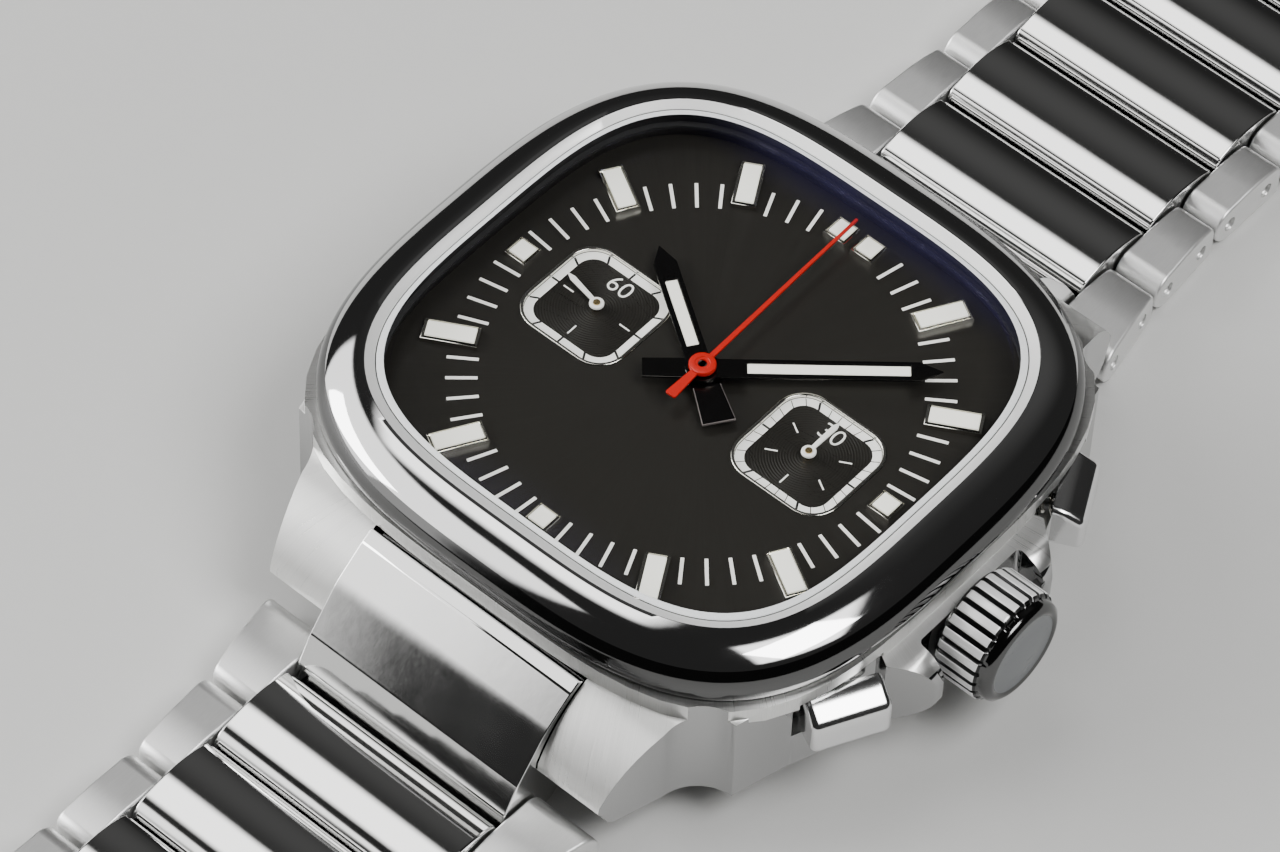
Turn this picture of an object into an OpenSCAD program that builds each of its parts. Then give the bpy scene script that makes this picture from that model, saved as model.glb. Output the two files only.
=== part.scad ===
// Chronograph wristwatch with a cushion case and a steel link bracelet.
// The case back rests on z = 0 and the origin lies under the middle of the dial.
// +X points to 3 o'clock and the crown, +Y to 12 o'clock, +Z out of the dial.

/* [Dial] */
// Height of the dial face above the surface that the case back rests on
dial_z = 11.07; // [10.9:0.05:11.3]
// Thickness of the dial plate
dial_t = 0.4; // [0.3:0.05:0.5]
// Clearance between the dial plate and the case round it
dial_clear = 0.1; // [0.06:0.01:0.15]
// Distance from the dial centre to each small dial
subdial_x = 7.65; // [7.4:0.05:7.9]
// Half width of a small dial's recess
subdial_half = 3.55; // [3.2:0.05:3.7]
// Corner radius of a small dial's recess
subdial_corner = 1.85; // [1.4:0.05:2.4]
// Depth of a small dial's recess
subdial_depth = 0.2; // [0.1:0.05:0.25]
// Width of the polished rim round a small dial
subdial_rim = 0.22; // [0.15:0.01:0.3]

/* [Hour markers] */
// Distance from the bezel's opening in to the middle of the long markers
baton_in = 1.35; // [1.3:0.05:1.75]
// Length of a long marker
baton_len = 3.2; // [2.6:0.1:3.4]
// Width of a long marker
baton_w = 1.45; // [1.2:0.05:1.6]
// Distance from the bezel's opening in to the middle of the square markers
square_in = 2.25; // [2:0.05:2.45]
// Side of a square marker
square_w = 1.5; // [1.3:0.05:1.6]
// Distance of each 12 o'clock square from the 12 o'clock line
twelve_x = 0.98; // [0.9:0.02:1.1]
// Height of the markers above the dial
marker_h = 0.45; // [0.3:0.05:0.5]
// Width of the polished frame round a marker's luminous block
marker_frame = 0.2; // [0.12:0.01:0.25]

/* [Hands] */
// Length of the hour hand from the centre to its tip
hour_len = 9.2; // [8.6:0.1:10.4]
// Width of the hour hand
hour_w = 1.35; // [1.2:0.05:1.6]
// Length of the hour hand's tail
hour_tail = 3.6; // [2.6:0.1:3.8]
// Width of the hour hand's tail
hour_tail_w = 1.9; // [1.6:0.05:2]
// Angle of the hour hand, clockwise from 12
hour_angle = -55.8; // [-180:0.1:180]
// Distance from the bezel's opening in to the minute hand's tip
minute_in = 2.15; // [1.6:0.05:2.9]
// Width of the minute hand
minute_w = 1.3; // [1.1:0.05:1.5]
// Length of the minute hand's tail
minute_tail = 3.3; // [2.6:0.1:3.8]
// Angle of the minute hand, clockwise from 12
minute_angle = 48.8; // [-180:0.1:180]
// Distance from the bezel's opening in to the chronograph hand's tip
chrono_in = 1.75; // [1.4:0.05:2.5]
// Length of the chronograph hand's tail
chrono_tail = 2.8; // [2.2:0.1:3.4]
// Diameter of the chronograph hand's hub
chrono_hub_d = 1.54; // [1.4:0.02:1.8]
// Length of the small dials' hands
small_len = 2.7; // [2.3:0.1:2.9]
// Angle of the small seconds hand, clockwise from 12
small_seconds_angle = -77.9; // [-180:0.1:180]
// Thickness of a hand
hand_t = 0.16; // [0.14:0.01:0.18]
// Height of the hour hand above the dial
hour_h = 0.53; // [0.5:0.01:0.56]
// Clear height between one central hand and the next
hand_gap = 0.18; // [0.14:0.01:0.2]

/* [Bezel and crystal] */
// Width of the bezel from its opening to its widest outline
bezel_w = 3.42; // [3.2:0.02:3.6]
// Difference between the bezel's half widths along X and along Y
bezel_short = 0.2; // [0:0.05:0.3]
// Height of the bezel's underside
bezel_low_z = 10.35; // [10.3:0.05:10.4]
// Height of the bezel's top edge
bezel_top_z = 13.27; // [13.1:0.05:13.5]
// Half width of the opening in the bezel
opening_half = 15.35; // [15.3:0.01:15.4]
// Width of the pale chamfer inside the bezel's top edge
chamfer_w = 0.6; // [0.4:0.05:0.8]
// Depth of the same chamfer
chamfer_h = 0.32; // [0.2:0.02:0.4]
// Rise of the crystal's dome over its edge
crystal_rise = 1.0; // [0.9:0.05:1.2]
// Thickness of the crystal
crystal_t = 0.9; // [0.85:0.05:0.95]

/* [Case] */
// Height of the case's flat top
plateau_z = 9.45; // [9.3:0.05:9.6]
// Height of the case's underside
case_low_z = 2.9; // [2.7:0.05:3]
// Half width of the case at the horns along X
horn_x = 15.75; // [15.5:0.05:16]
// Half width of the case at the horns along Y
horn_y = 15.35; // [15.1:0.05:15.6]
// Height of the ring step between the plateau and the bezel
step_h = 0.8; // [0.6:0.05:0.85]
// How far that ring step stays inside the bezel's widest outline
step_inset = 0.22; // [0.1:0.02:0.4]
// Top of the neck that the bezel is pressed on
neck_top_z = 11.5; // [11.45:0.01:11.55]
// How far that neck reaches out under the bezel's ledge
neck_lap = 1.95; // [1.8:0.05:2.05]
// Radius of the case cavity round the movement
cavity_r = 15.2; // [15.1:0.05:15.3]
// Distance from the centre to the lug tips
lug_tip_y = 21.8; // [21.6:0.05:22]
// Half width over the lug tips
lug_tip_x = 11.75; // [11.6:0.05:12]
// Height of the lugs' top edge at the tips
lug_tip_z = 4.9; // [4.8:0.05:5.1]
// Half width of the gap between the lugs
lug_gap_half = 7.6; // [7.55:0.01:7.65]
// Distance from the centre to the case wall between the lugs
lug_wall_y = 17.6; // [17.4:0.05:17.7]
// Outer radius of the case back
back_r = 17; // [16.8:0.05:17.1]
// Radius of the flat face that the watch rests on
rest_r = 15.4; // [14.8:0.05:15.6]

/* [Crown and pushers] */
// Height of the crown, the pushers and the winding stem
stem_z = 6.9; // [6.85:0.01:7]
// Diameter of the crown
crown_d = 6.9; // [6.6:0.05:7.1]
// Distance from the ring step to the crown's inner end
crown_gap = 0.8; // [0.75:0.05:0.95]
// Length of the crown
crown_len = 3.77; // [3.65:0.01:4]
// Number of ribs round the crown
crown_ribs = 26; // [20:1:32]
// Depth of the grooves between the ribs
rib_depth = 0.22; // [0.16:0.02:0.3]
// How far the crown pulls out to set the hands
crown_travel = 1.0; // [0.6:0.1:1]
// Radius of the winding stem
stem_r = 0.55; // [0.45:0.01:0.6]
// Angle of each pusher's axis from the 3 o'clock line
pusher_angle = 27.4; // [27:0.1:27.8]
// Distance from the ring step to a pusher's outer face
pusher_reach = 3.55; // [3.45:0.05:3.75]
// Width of a pusher's head
pusher_w = 4.7; // [4.2:0.1:4.9]
// Height of a pusher's outer face
pusher_h = 2.25; // [2:0.05:2.4]
// Depth of a pusher's head
pusher_depth = 1.9; // [1.85:0.05:1.95]
// Travel of a pusher
pusher_travel = 0.8; // [0.5:0.05:0.8]

/* [Bracelet] */
// Length of one link, from hinge to hinge
link_pitch = 6.3; // [6.2:0.05:6.5]
// Distance from the centre to the first hinge
first_hinge_y = 22.9; // [22.8:0.05:23]
// Number of links on the 12 o'clock side
links_12 = 9; // [9:1:9]
// Number of links on the 6 o'clock side
links_6 = 8; // [8:1:8]
// Thickness of the outer links, which is twice the hinge height
outer_t = 2.5; // [2.4:0.05:2.6]
// Height of the centre links
centre_t = 3.12; // [3:0.02:3.2]
// Half width of the centre links
centre_half = 7.55; // [7.4:0.01:7.55]
// Half width over the first outer links at the lugs
outer_half_lug = 12; // [11.8:0.05:12.1]
// Half width over the first outer links at their far end
outer_half_second = 10.8; // [10.6:0.05:11]
// Half width over all later outer links
outer_half_rest = 10.3; // [10.1:0.05:10.4]
// Radius of the link pins
pin_r = 0.45; // [0.35:0.01:0.5]
// Side clearance between neighbouring links
link_gap = 0.1; // [0.06:0.01:0.12]

/* [Clasp] */
// Length of the clasp cover from its hinge
clasp_len = 34; // [33:0.5:36]
// Half width of the clasp cover
clasp_half = 9.2; // [9.1:0.05:9.3]
// Height of the clasp cover
clasp_h = 4.5; // [4.45:0.05:4.6]
// Wall thickness of the clasp cover
clasp_wall = 1.0; // [0.9:0.05:1.1]
// Thickness of the folding blades
blade_t = 0.8; // [0.7:0.05:0.85]

/* [Movement] */
// Radius of the movement's main plate
plate_r = 13; // [12.8:0.05:13]
// Height of the main plate's upper face
plate_top_z = 9.3; // [9.25:0.05:9.35]
// Height of the main plate's lower face
plate_low_z = 5.4; // [5.3:0.05:5.5]
// Thickness of the train bridge
bridge_t = 1.4; // [1.3:0.05:1.45]
// Distance from the centre to the minute wheel
minute_wheel_y = 6; // [5.9:0.05:6.1]
// Distance from the centre to the balance
balance_d = 7.6; // [7.4:0.05:7.7]
// Radius of the balance wheel
balance_r = 3.9; // [3.6:0.05:4]
// Room between the rotor and the wall of the cavity
rotor_clear = 1.6; // [1.4:0.1:2.2]

/* [Hidden] */

$fn = 64;

// Finishes
steel = [0.78, 0.78, 0.77];
polished = [0.86, 0.87, 0.88];
gilt = [0.78, 0.66, 0.36];
lume = [0.93, 0.93, 0.84];
coal = [0.10, 0.10, 0.09];
seal = [0.08, 0.08, 0.08];

// Clearances
fit = 0.02;        // pieces pressed or seated together
running = 0.05;    // shafts that turn in bores
big = 80;          // longer than anything that it cuts

// Sizes that follow from the opening in the bezel
bezel_half = opening_half + bezel_w;
step_half = bezel_half - step_inset;
neck_half = opening_half + neck_lap;
neck_wall = 1.4;
dial_half = neck_half - neck_wall - dial_clear;
baton_r = opening_half - baton_in;
square_r = opening_half - square_in;
minute_len = opening_half - minute_in;
chrono_len = opening_half - chrono_in;
crown_in_x = step_half + crown_gap;
crown_out_x = crown_in_x + crown_len;
pusher_out_r = step_half + pusher_reach;

// Cushion outlines: the squareness grows towards the opening, as the bezel's section narrows
outline_steps = 72;
square_foot = 3.3;
square_wide = 3.06;
square_edge = 3.5;
square_opening = 3.66;
square_step = 3.75;
opening_short = 0.25;

function cushion(a, b, n, steps = outline_steps) = [
    for (i = [0 : steps - 1])
        let (t = 360 * i / steps,
             r = pow(pow(abs(cos(t)) / a, n) + pow(abs(sin(t)) / b, n), -1 / n))
            [r * cos(t), r * sin(t)]];

// A closed outline through points [x, y, corner radius], each corner an arc
function unit(v) = v / norm(v);
function corner_arc(before, at, after, r, steps) =
    let (u = unit(before - at), v = unit(after - at),
         half = acos(max(-1, min(1, u * v))) / 2,
         middle = at + unit(u + v) * r / sin(half),
         from = at + u * r / tan(half) - middle,
         to = at + v * r / tan(half) - middle,
         a0 = atan2(from[1], from[0]),
         turn = atan2(to[1], to[0]) - a0,
         sweep = turn > 180 ? turn - 360 : (turn < -180 ? turn + 360 : turn))
        [for (i = [0 : steps]) middle + r * [cos(a0 + sweep * i / steps), sin(a0 + sweep * i / steps)]];
function rounded(points, steps = 6) = [
    for (i = [0 : len(points) - 1])
        let (n = len(points),
             p = points[i],
             at = [p[0], p[1]],
             q = points[(i + n - 1) % n],
             s = points[(i + 1) % n])
            each (p[2] == 0 ? [at] : corner_arc([q[0], q[1]], at, [s[0], s[1]], p[2], steps))];
function backwards(points) = [for (i = [len(points) - 1 : -1 : 0]) points[i]];
function flip_y(points) = [for (p = points) [p[0], -p[1], p[2]]];

// A ring solid whose cross section is given as cushion outlines [half x, half y, squareness, z]
module cushion_loft(sections) {
    m = outline_steps;
    k = len(sections);
    points = [for (s = sections) for (p = cushion(s[0], s[1], s[2])) [p[0], p[1], s[3]]];
    faces = [
        for (j = [0 : k - 1]) for (i = [0 : m - 1])
            let (a = j * m + i, b = j * m + (i + 1) % m,
                 c = ((j + 1) % k) * m + (i + 1) % m, d = ((j + 1) % k) * m + i)
                each [[a, c, b], [a, d, c]]];
    polyhedron(points, faces);
}

module cushion_plate(half, short, n, z0, z1) {
    translate([0, 0, z0]) linear_extrude(z1 - z0) polygon(cushion(half, half - short, n));
}

// A bar of the given outline in (y, z), run along X
module across(x0, x1) {
    translate([x0, 0, 0]) rotate([90, 0, 90]) linear_extrude(x1 - x0) children();
}

// A cylinder along X
module x_rod(r, x0, x1, y, z) {
    translate([x0, y, z]) rotate([0, 90, 0]) cylinder(r = r, h = x1 - x0);
}

module disc(r, z0, z1) {
    translate([0, 0, z0]) cylinder(r = r, h = z1 - z0);
}

module pipe(outer, inner, z0, z1) {
    difference() {
        disc(outer, z0, z1);
        disc(inner, z0 - 1, z1 + 1);
    }
}

// Heights of the hands
hour_z = dial_z + hour_h;
minute_z = hour_z + hand_t + hand_gap;
chrono_z = minute_z + hand_t + hand_gap;
small_z = dial_z + 0.15;
small_top_z = dial_z + 0.36;

// Radii of the three nested central arbors
chrono_r = 0.25;
cannon_r = 0.52;
hour_pipe_r = 0.82;
small_arbor_r = 0.2;

// Case levels that follow from the dimensions above
dial_low_z = dial_z - dial_t;
step_z = plateau_z + step_h;
opening_y = opening_half - opening_short;
crystal_edge_z = bezel_top_z - chamfer_h;
crystal_low_z = crystal_edge_z - 0.85;
gasket_t = 0.2;
flange_top_z = crystal_low_z - gasket_t;

// Case back seat
back_seat_r = cavity_r + 1;
rotor_r = cavity_r - rotor_clear;
back_seat_z = case_low_z + 1.4;
spigot_z = case_low_z + 1;

/* Case middle */
guard_y = 4.85;
guard_x = crown_in_x + 1.8;
recess_x = crown_in_x - 0.25;
recess_y = crown_d / 2 + 0.8;
flank_x = 16.7;
flank_y = 11.8;
left_flank_x = 18.2;
scallop_x = 13.35;
scallop_y = 16.85;
scallop_depth = 0.38;
beyond_lug_y = lug_tip_y + 1;

case_quarter_right = [
    [lug_tip_x - 0.1, beyond_lug_y, 0],
    [scallop_x, scallop_y, 0],
    [horn_x, horn_y, 0],
    [flank_x, flank_y, 4],
    [18.7, 6.8, 0.4],
    [guard_x, guard_y, 0.35],
    [guard_x, recess_y, 0.3],
    [recess_x, recess_y, 0.3]];
case_quarter_left = [
    [-(lug_tip_x - 0.1), beyond_lug_y, 0],
    [-scallop_x, scallop_y, 0],
    [-horn_x, horn_y, 0],
    [-flank_x, flank_y, 5],
    [-left_flank_x, 5, 8]];
case_plan = rounded(concat(
    flip_y(case_quarter_right), backwards(case_quarter_right),
    case_quarter_left, backwards(flip_y(case_quarter_left))), 5);

// Side view of the case with its lugs, as [y, z]
lug_curve_r = 8;
lug_curve_y = lug_tip_y - sqrt(pow(lug_curve_r, 2) - pow(lug_tip_z - plateau_z + lug_curve_r, 2));
lug_drop_end = asin((lug_tip_z - plateau_z + lug_curve_r) / lug_curve_r);
lug_steps = 10;
lug_half_profile = concat(
    [for (i = [0 : lug_steps])
        let (a = 90 - (90 - lug_drop_end) * i / lug_steps)
            [lug_curve_y + lug_curve_r * cos(a), plateau_z - lug_curve_r + lug_curve_r * sin(a)]],
    [[lug_tip_y + 0.05, lug_tip_z - 0.5], [lug_tip_y - 0.2, case_low_z + 1.1],
     [lug_tip_y - 0.6, case_low_z + 0.25], [lug_tip_y - 1.2, case_low_z]]);
case_side = concat(
    lug_half_profile,
    [for (i = [len(lug_half_profile) - 1 : -1 : 0]) [-lug_half_profile[i][0], lug_half_profile[i][1]]]);

// End view of the case: flanks that slope down and round off at the crown guards
flank_r = 2.3;
flank_at = [guard_x + 0.05 - flank_r, stem_z - 0.5];
flank_top = [16.2, plateau_z];
flank_foot = [17.2, case_low_z];

// The point where a line from p touches the flank's circle, on the given side
function touch(p, side) =
    let (v = p - flank_at, a = atan2(v[1], v[0]) - side * acos(flank_r / norm(v)))
        flank_at + flank_r * [cos(a), sin(a)];

module case_end_view() {
    for (side = [0, 1]) mirror([side, 0]) {
        translate(flank_at) circle(r = flank_r);
        polygon([[0, plateau_z], flank_top, touch(flank_top, 1), flank_at, touch(flank_foot, -1), flank_foot,
                 [0, case_low_z]]);
    }
}

// The scallop beside each lug, through the two sharp edges of the case's outline
scallop_from = [scallop_x, scallop_y];
scallop_to = [horn_x, horn_y];
scallop_chord = norm(scallop_to - scallop_from);
scallop_r = pow(scallop_chord, 2) / (8 * scallop_depth) + scallop_depth / 2;
scallop_out = unit([scallop_from[1] - scallop_to[1], scallop_to[0] - scallop_from[0]]);
scallop_at = (scallop_from + scallop_to) / 2 + scallop_out * (scallop_r - scallop_depth);

spring_bar_y = 19.6;
spring_bar_z = 5.2;
spring_bar_r = 0.75;
spring_bar_reach = lug_gap_half + 1.3;
tube_outer_r = 1.25;
pusher_tube_in_r = cavity_r + 1;
pocket_r = pusher_out_r - pusher_depth - pusher_travel - 0.2;
pusher_tube_out_r = pocket_r + 0.05;
pocket_clear = 0.4;
pusher_low_z = stem_z - 0.9;
pusher_rise = 0.75;
pusher_slope = 1.3;
crown_tube_in_x = cavity_r + 0.3;
crown_tube_out_x = recess_x + 1.3;

module at_pusher(side) {
    rotate([0, 0, side * pusher_angle]) translate([0, 0, stem_z]) rotate([0, 90, 0]) children();
}

module case_blank() {
    intersection() {
        translate([0, 0, case_low_z - 1]) linear_extrude(plateau_z - case_low_z + 2) polygon(case_plan);
        across(-big, big) polygon(case_side);
        translate([0, big, 0]) rotate([90, 0, 0]) linear_extrude(2 * big) case_end_view();
    }
}

// The pocket that a pusher's head sinks into
module pusher_pocket(side) {
    half = pusher_w / 2 + pocket_clear;
    low = pusher_low_z - pocket_clear;
    rotate([0, 0, side * pusher_angle]) translate([pocket_r, -half, low]) cube([big, 2 * half, plateau_z - 0.02 - low]);
}

module case_middle() {
    color(steel) difference() {
        union() {
            difference() {
                case_blank();
                for (side = [-1, 1])
                    translate([-lug_gap_half, side > 0 ? lug_wall_y : -lug_wall_y - big, 0])
                        cube([2 * lug_gap_half, big, big]);
            }
            cushion_plate(step_half, bezel_short, square_step, plateau_z - 0.35, step_z);
            cushion_plate(neck_half, bezel_short, square_foot, plateau_z - 0.35, neck_top_z);
        }
        cushion_plate(neck_half - neck_wall, bezel_short, square_edge, dial_low_z, big);
        for (x = [0, 1]) for (y = [0, 1]) mirror([x, 0, 0]) mirror([0, y, 0])
            translate([scallop_at[0], scallop_at[1], 0]) cylinder(r = scallop_r, h = big, $fn = 96);
        disc(cavity_r, 0, big);
        disc(back_seat_r, 0, back_seat_z);
        x_rod(tube_outer_r, 0, big, 0, stem_z);
        for (side = [-1, 1]) {
            at_pusher(side) cylinder(r = tube_outer_r, h = big);
            pusher_pocket(side);
            x_rod(spring_bar_r + running, -spring_bar_reach, spring_bar_reach, side * spring_bar_y, spring_bar_z);
        }
    }
}

module case_tubes() {
    color(polished) {
        difference() {
            x_rod(tube_outer_r - fit, crown_tube_in_x, crown_tube_out_x, 0, stem_z);
            x_rod(stem_r + running, 0, big, 0, stem_z);
        }
        for (side = [-1, 1])
            at_pusher(side) difference() {
                translate([0, 0, pusher_tube_in_r])
                    cylinder(r = tube_outer_r - fit, h = pusher_tube_out_r - pusher_tube_in_r);
                cylinder(r = pusher_stem_r + running, h = big);
                translate([0, 0, pusher_tube_in_r + 0.6]) cylinder(r = spring_seat_r, h = big);
            }
    }
}

module case_back() {
    notch = 0.9;
    color(polished) difference() {
        rotate_extrude() polygon([
            [0, 0], [rest_r, 0], [back_r - 0.4, 1.4],
            [back_r, 1.9], [back_r, case_low_z], [back_seat_r - fit, case_low_z],
            [back_seat_r - fit, spigot_z], [cavity_r - 0.5, spigot_z], [cavity_r - 0.5, 1.5],
            [cavity_r - 1, 1.2], [0, 1.2]]);
        for (i = [0 : 5])
            rotate([0, 0, 60 * i + 30]) translate([rest_r - 0.2, -1, -1]) cube([3, 2, 1 + notch]);
    }
}

module case_back_gasket() {
    section = (back_seat_z - spigot_z) / 2 - 0.01;
    color(seal) rotate_extrude() translate([(cavity_r - 0.5 + back_seat_r) / 2 + 0.25, spigot_z + section + 0.01])
        circle(r = section, $fn = 24);
}

/* Bezel and crystal */
bezel_y = bezel_half - bezel_short;
// Each section of the bezel as [inset from the widest outline, squareness, z]
bezel_sections = [
    [bezel_half - neck_half - 0.1, square_foot, bezel_low_z],
    [0.32, square_foot, bezel_low_z],
    [0.08, 3.15, bezel_low_z + 0.3],
    [0, square_wide, bezel_low_z + 0.75],
    [0.08, 3.08, bezel_low_z + 1.25],
    [0.36, 3.12, bezel_top_z - 1.05],
    [0.85, 3.18, bezel_top_z - 0.58],
    [1.5, 3.28, bezel_top_z - 0.24],
    [2.15, 3.38, bezel_top_z - 0.06],
    [bezel_half - opening_half - chamfer_w - 0.12, square_edge - 0.03, bezel_top_z],
    [bezel_half - opening_half - chamfer_w, square_edge, bezel_top_z - 0.01]];

module bezel() {
    color(polished) cushion_loft(concat(
        [for (s = bezel_sections) [bezel_half - s[0], bezel_y - s[0], s[1], s[2]]],
        [[opening_half, opening_y, square_opening, crystal_edge_z],
         [opening_half, opening_y, square_opening, neck_top_z + fit],
         [neck_half + 0.1, neck_half + 0.1 - bezel_short, square_foot, neck_top_z + fit]]));
}

dome_r = (pow(opening_half, 2) + pow(crystal_rise, 2)) / (2 * crystal_rise);
dome_top_z = crystal_edge_z + crystal_rise;
crystal_seat_w = 0.55;
inner_dome_r = 2 * dome_r;
dome_reach = 18.5;
dome_steps = 14;

// A shallow dome of the given radius over a flat floor
module shallow_dome(radius, top_z, floor_z) {
    rotate_extrude($fn = 160) polygon(concat(
        [[0, floor_z]],
        [for (i = [0 : dome_steps])
            let (r = dome_reach * i / dome_steps) [r, top_z - pow(r, 2) / (2 * radius)]],
        [[dome_reach, floor_z]]));
}

module crystal() {
    color([0.75, 0.82, 0.9, 0.35]) difference() {
        intersection() {
            cushion_plate(opening_half - running, opening_short, square_opening, crystal_low_z, dome_top_z + 1);
            shallow_dome(dome_r, dome_top_z, 1);
        }
        intersection() {
            cushion_plate(opening_half - crystal_seat_w, opening_short, square_opening, 0, big);
            shallow_dome(inner_dome_r, dome_top_z - crystal_t, 1);
        }
    }
}

module crystal_gasket() {
    color(seal) difference() {
        cushion_plate(opening_half - running, opening_short, square_opening, flange_top_z + 0.01, crystal_low_z - 0.01);
        cushion_plate(opening_half - 0.35, opening_short, square_opening, 0, big);
    }
}

// The flange ring rests on the dial, and its upper part stands inside the bezel's opening
flange_half = neck_half - neck_wall - 0.05;
flange_lip = 0.25;
flange_slope = 0.15;

module flange_ring() {
    color(coal) cushion_loft([
        [flange_half, flange_half - bezel_short, square_edge, dial_z + 0.01],
        [flange_half, flange_half - bezel_short, square_edge, neck_top_z],
        [opening_half - running, opening_y - running, square_opening, neck_top_z],
        [opening_half - running, opening_y - running, square_opening, flange_top_z],
        [opening_half - running - flange_lip, opening_y - running - flange_lip, square_opening, flange_top_z],
        [opening_half - flange_slope, opening_y - flange_slope, square_opening, dial_z + 0.01]]);
}

/* Dial */
module rounded_square(half, corner, z0, z1) {
    translate([0, 0, z0]) linear_extrude(z1 - z0) {
        square([2 * half, 2 * (half - corner)], center = true);
        square([2 * (half - corner), 2 * half], center = true);
        for (x = [-1, 1]) for (y = [-1, 1])
            translate([x * (half - corner), y * (half - corner)]) circle(r = corner);
    }
}

foot_r = 0.4;
foot_xy = [[8.5, 8.5], [-8.5, -8.5]];

module dial() {
    color(coal) {
        difference() {
            cushion_plate(dial_half, bezel_short, square_edge, dial_low_z + 0.01, dial_z);
            disc(hour_pipe_r + running, 0, big);
            for (side = [-1, 1]) translate([side * subdial_x, 0, 0]) {
                rounded_square(subdial_half, subdial_corner, dial_z - subdial_depth, big);
                disc(small_arbor_r + running, 0, big);
            }
        }
        for (p = foot_xy) translate([p[0], p[1], plate_top_z - 0.6])
            cylinder(r = foot_r, h = dial_low_z + 0.05 - plate_top_z + 0.6);
    }
}

module subdial_rims() {
    color(polished) for (side = [-1, 1]) translate([side * subdial_x, 0, 0]) difference() {
        rounded_square(subdial_half - fit, subdial_corner, dial_z - subdial_depth + 0.01, dial_z + 0.05);
        rounded_square(subdial_half - subdial_rim, subdial_corner - subdial_rim, 0, big);
    }
}

baton_hours = [1, 2, 4, 5, 7, 8, 10, 11];
square_hours = [3, 6, 9];

// Puts its child at every marker, with the child told its length and width
module at_markers(shrink, z0, z1) {
    for (h = baton_hours)
        rotate([0, 0, -30 * h]) translate([0, baton_r, z0])
            block(baton_w - 2 * shrink, baton_len - 2 * shrink, z1 - z0);
    for (h = square_hours)
        rotate([0, 0, -30 * h]) translate([0, square_r, z0])
            block(square_w - 2 * shrink, square_w - 2 * shrink, z1 - z0);
    for (side = [-1, 1])
        translate([side * twelve_x, square_r, z0])
            block(square_w - 2 * shrink, square_w - 2 * shrink, z1 - z0);
}

module block(w, l, h) {
    translate([-w / 2, -l / 2, 0]) cube([w, l, h]);
}

module hour_markers() {
    color(polished) difference() {
        at_markers(0, dial_z, dial_z + marker_h);
        at_markers(marker_frame, dial_z + 0.15, big);
    }
}

module marker_lume() {
    color(lume) at_markers(marker_frame + fit, dial_z + 0.16, dial_z + marker_h - 0.02);
}

/* Hands */
module hand_blank(points, z0, angle) {
    rotate([0, 0, -angle]) translate([0, 0, z0]) linear_extrude(hand_t) polygon(points);
}

// A baton hand with a broad tail, a point and a slot that holds luminous paste
module baton_hand(tip, w, tail, tail_w, slot, arbor_r, z0, angle) {
    slot_w = w * 0.52;
    color(coal) difference() {
        union() {
            hand_blank([[-tail_w / 2, -tail], [tail_w / 2, -tail], [w / 2, 0], [w / 2, tip - 1.3],
                        [0, tip], [-w / 2, tip - 1.3], [-w / 2, 0]], z0, angle);
            disc(arbor_r + 0.45, z0, z0 + hand_t);
        }
        disc(arbor_r + fit, 0, big);
        rotate([0, 0, -angle]) translate([-slot_w / 2, slot[0], 0]) cube([slot_w, slot[1] - slot[0], big]);
    }
    color(lume) rotate([0, 0, -angle]) translate([-slot_w / 2 + fit, slot[0] + fit, z0 + 0.04])
        cube([slot_w - 2 * fit, slot[1] - slot[0] - 2 * fit, hand_t - 0.04]);
}

hour_slot = [1.9, hour_len - 2.6];
minute_slot = [2.45, minute_len - 1.8];

module hour_hand() {
    baton_hand(hour_len, hour_w, hour_tail, hour_tail_w, hour_slot, hour_pipe_r, hour_z, hour_angle);
}

module minute_hand() {
    baton_hand(minute_len, minute_w, minute_tail, minute_w, minute_slot, cannon_r, minute_z, minute_angle);
}

module chrono_seconds_hand() {
    color([0.9, 0.14, 0.06]) difference() {
        union() {
            hand_blank([[-0.33, -chrono_tail], [0.33, -chrono_tail], [0.16, 0.6], [0.09, chrono_len],
                        [-0.09, chrono_len], [-0.16, 0.6]], chrono_z, 0);
            disc(chrono_hub_d / 2, chrono_z, chrono_z + hand_t + 0.1);
        }
        disc(chrono_r + fit, 0, big);
    }
}

module small_hand(x, angle) {
    color([0.95, 0.95, 0.93]) translate([x, 0, 0]) difference() {
        union() {
            hand_blank([[-0.12, 0], [0.12, 0], [0.17, small_len - 0.5], [0, small_len], [-0.17, small_len - 0.5]],
                       small_z, angle);
            disc(0.42, small_z, small_z + hand_t);
        }
        disc(small_arbor_r + fit, 0, big);
    }
}

module small_seconds_hand() {
    small_hand(-subdial_x, small_seconds_angle);
}

module minute_counter_hand() {
    small_hand(subdial_x, 0);
}

/* Motion works under the dial */
cannon_teeth = 12;
minute_teeth = 36;
pinion_teeth = 10;
hour_teeth = 40;
first_module = 2 * minute_wheel_y / (cannon_teeth + minute_teeth);
second_module = 2 * minute_wheel_y / (pinion_teeth + hour_teeth);
wheel_t = 0.3;
lower_wheel_z = plate_top_z + 0.1;
upper_wheel_z = lower_wheel_z + wheel_t + 0.15;
post_r = 0.4;

// Outline of a gear, with short teeth that narrow towards their tips
function gear(teeth, m, phase = 0) =
    let (pitch_r = teeth * m / 2, step = 360 / teeth,
         shape = [[-0.27, -1.15], [-0.21, 0], [-0.10, 0.8], [0.10, 0.8], [0.21, 0], [0.27, -1.15]])
        [for (i = [0 : teeth - 1]) for (s = shape)
            let (a = phase + step * (i + s[0]), r = pitch_r + s[1] * m) r * [cos(a), sin(a)]];

module wheel(teeth, m, phase, z) {
    translate([0, 0, z]) linear_extrude(wheel_t) polygon(gear(teeth, m, phase));
}

module cannon_pinion() {
    color(steel) difference() {
        union() {
            wheel(cannon_teeth, first_module, 0, lower_wheel_z);
            disc(cannon_r, lower_wheel_z, minute_z + hand_t);
        }
        disc(chrono_r + running, 0, big);
    }
}

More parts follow.
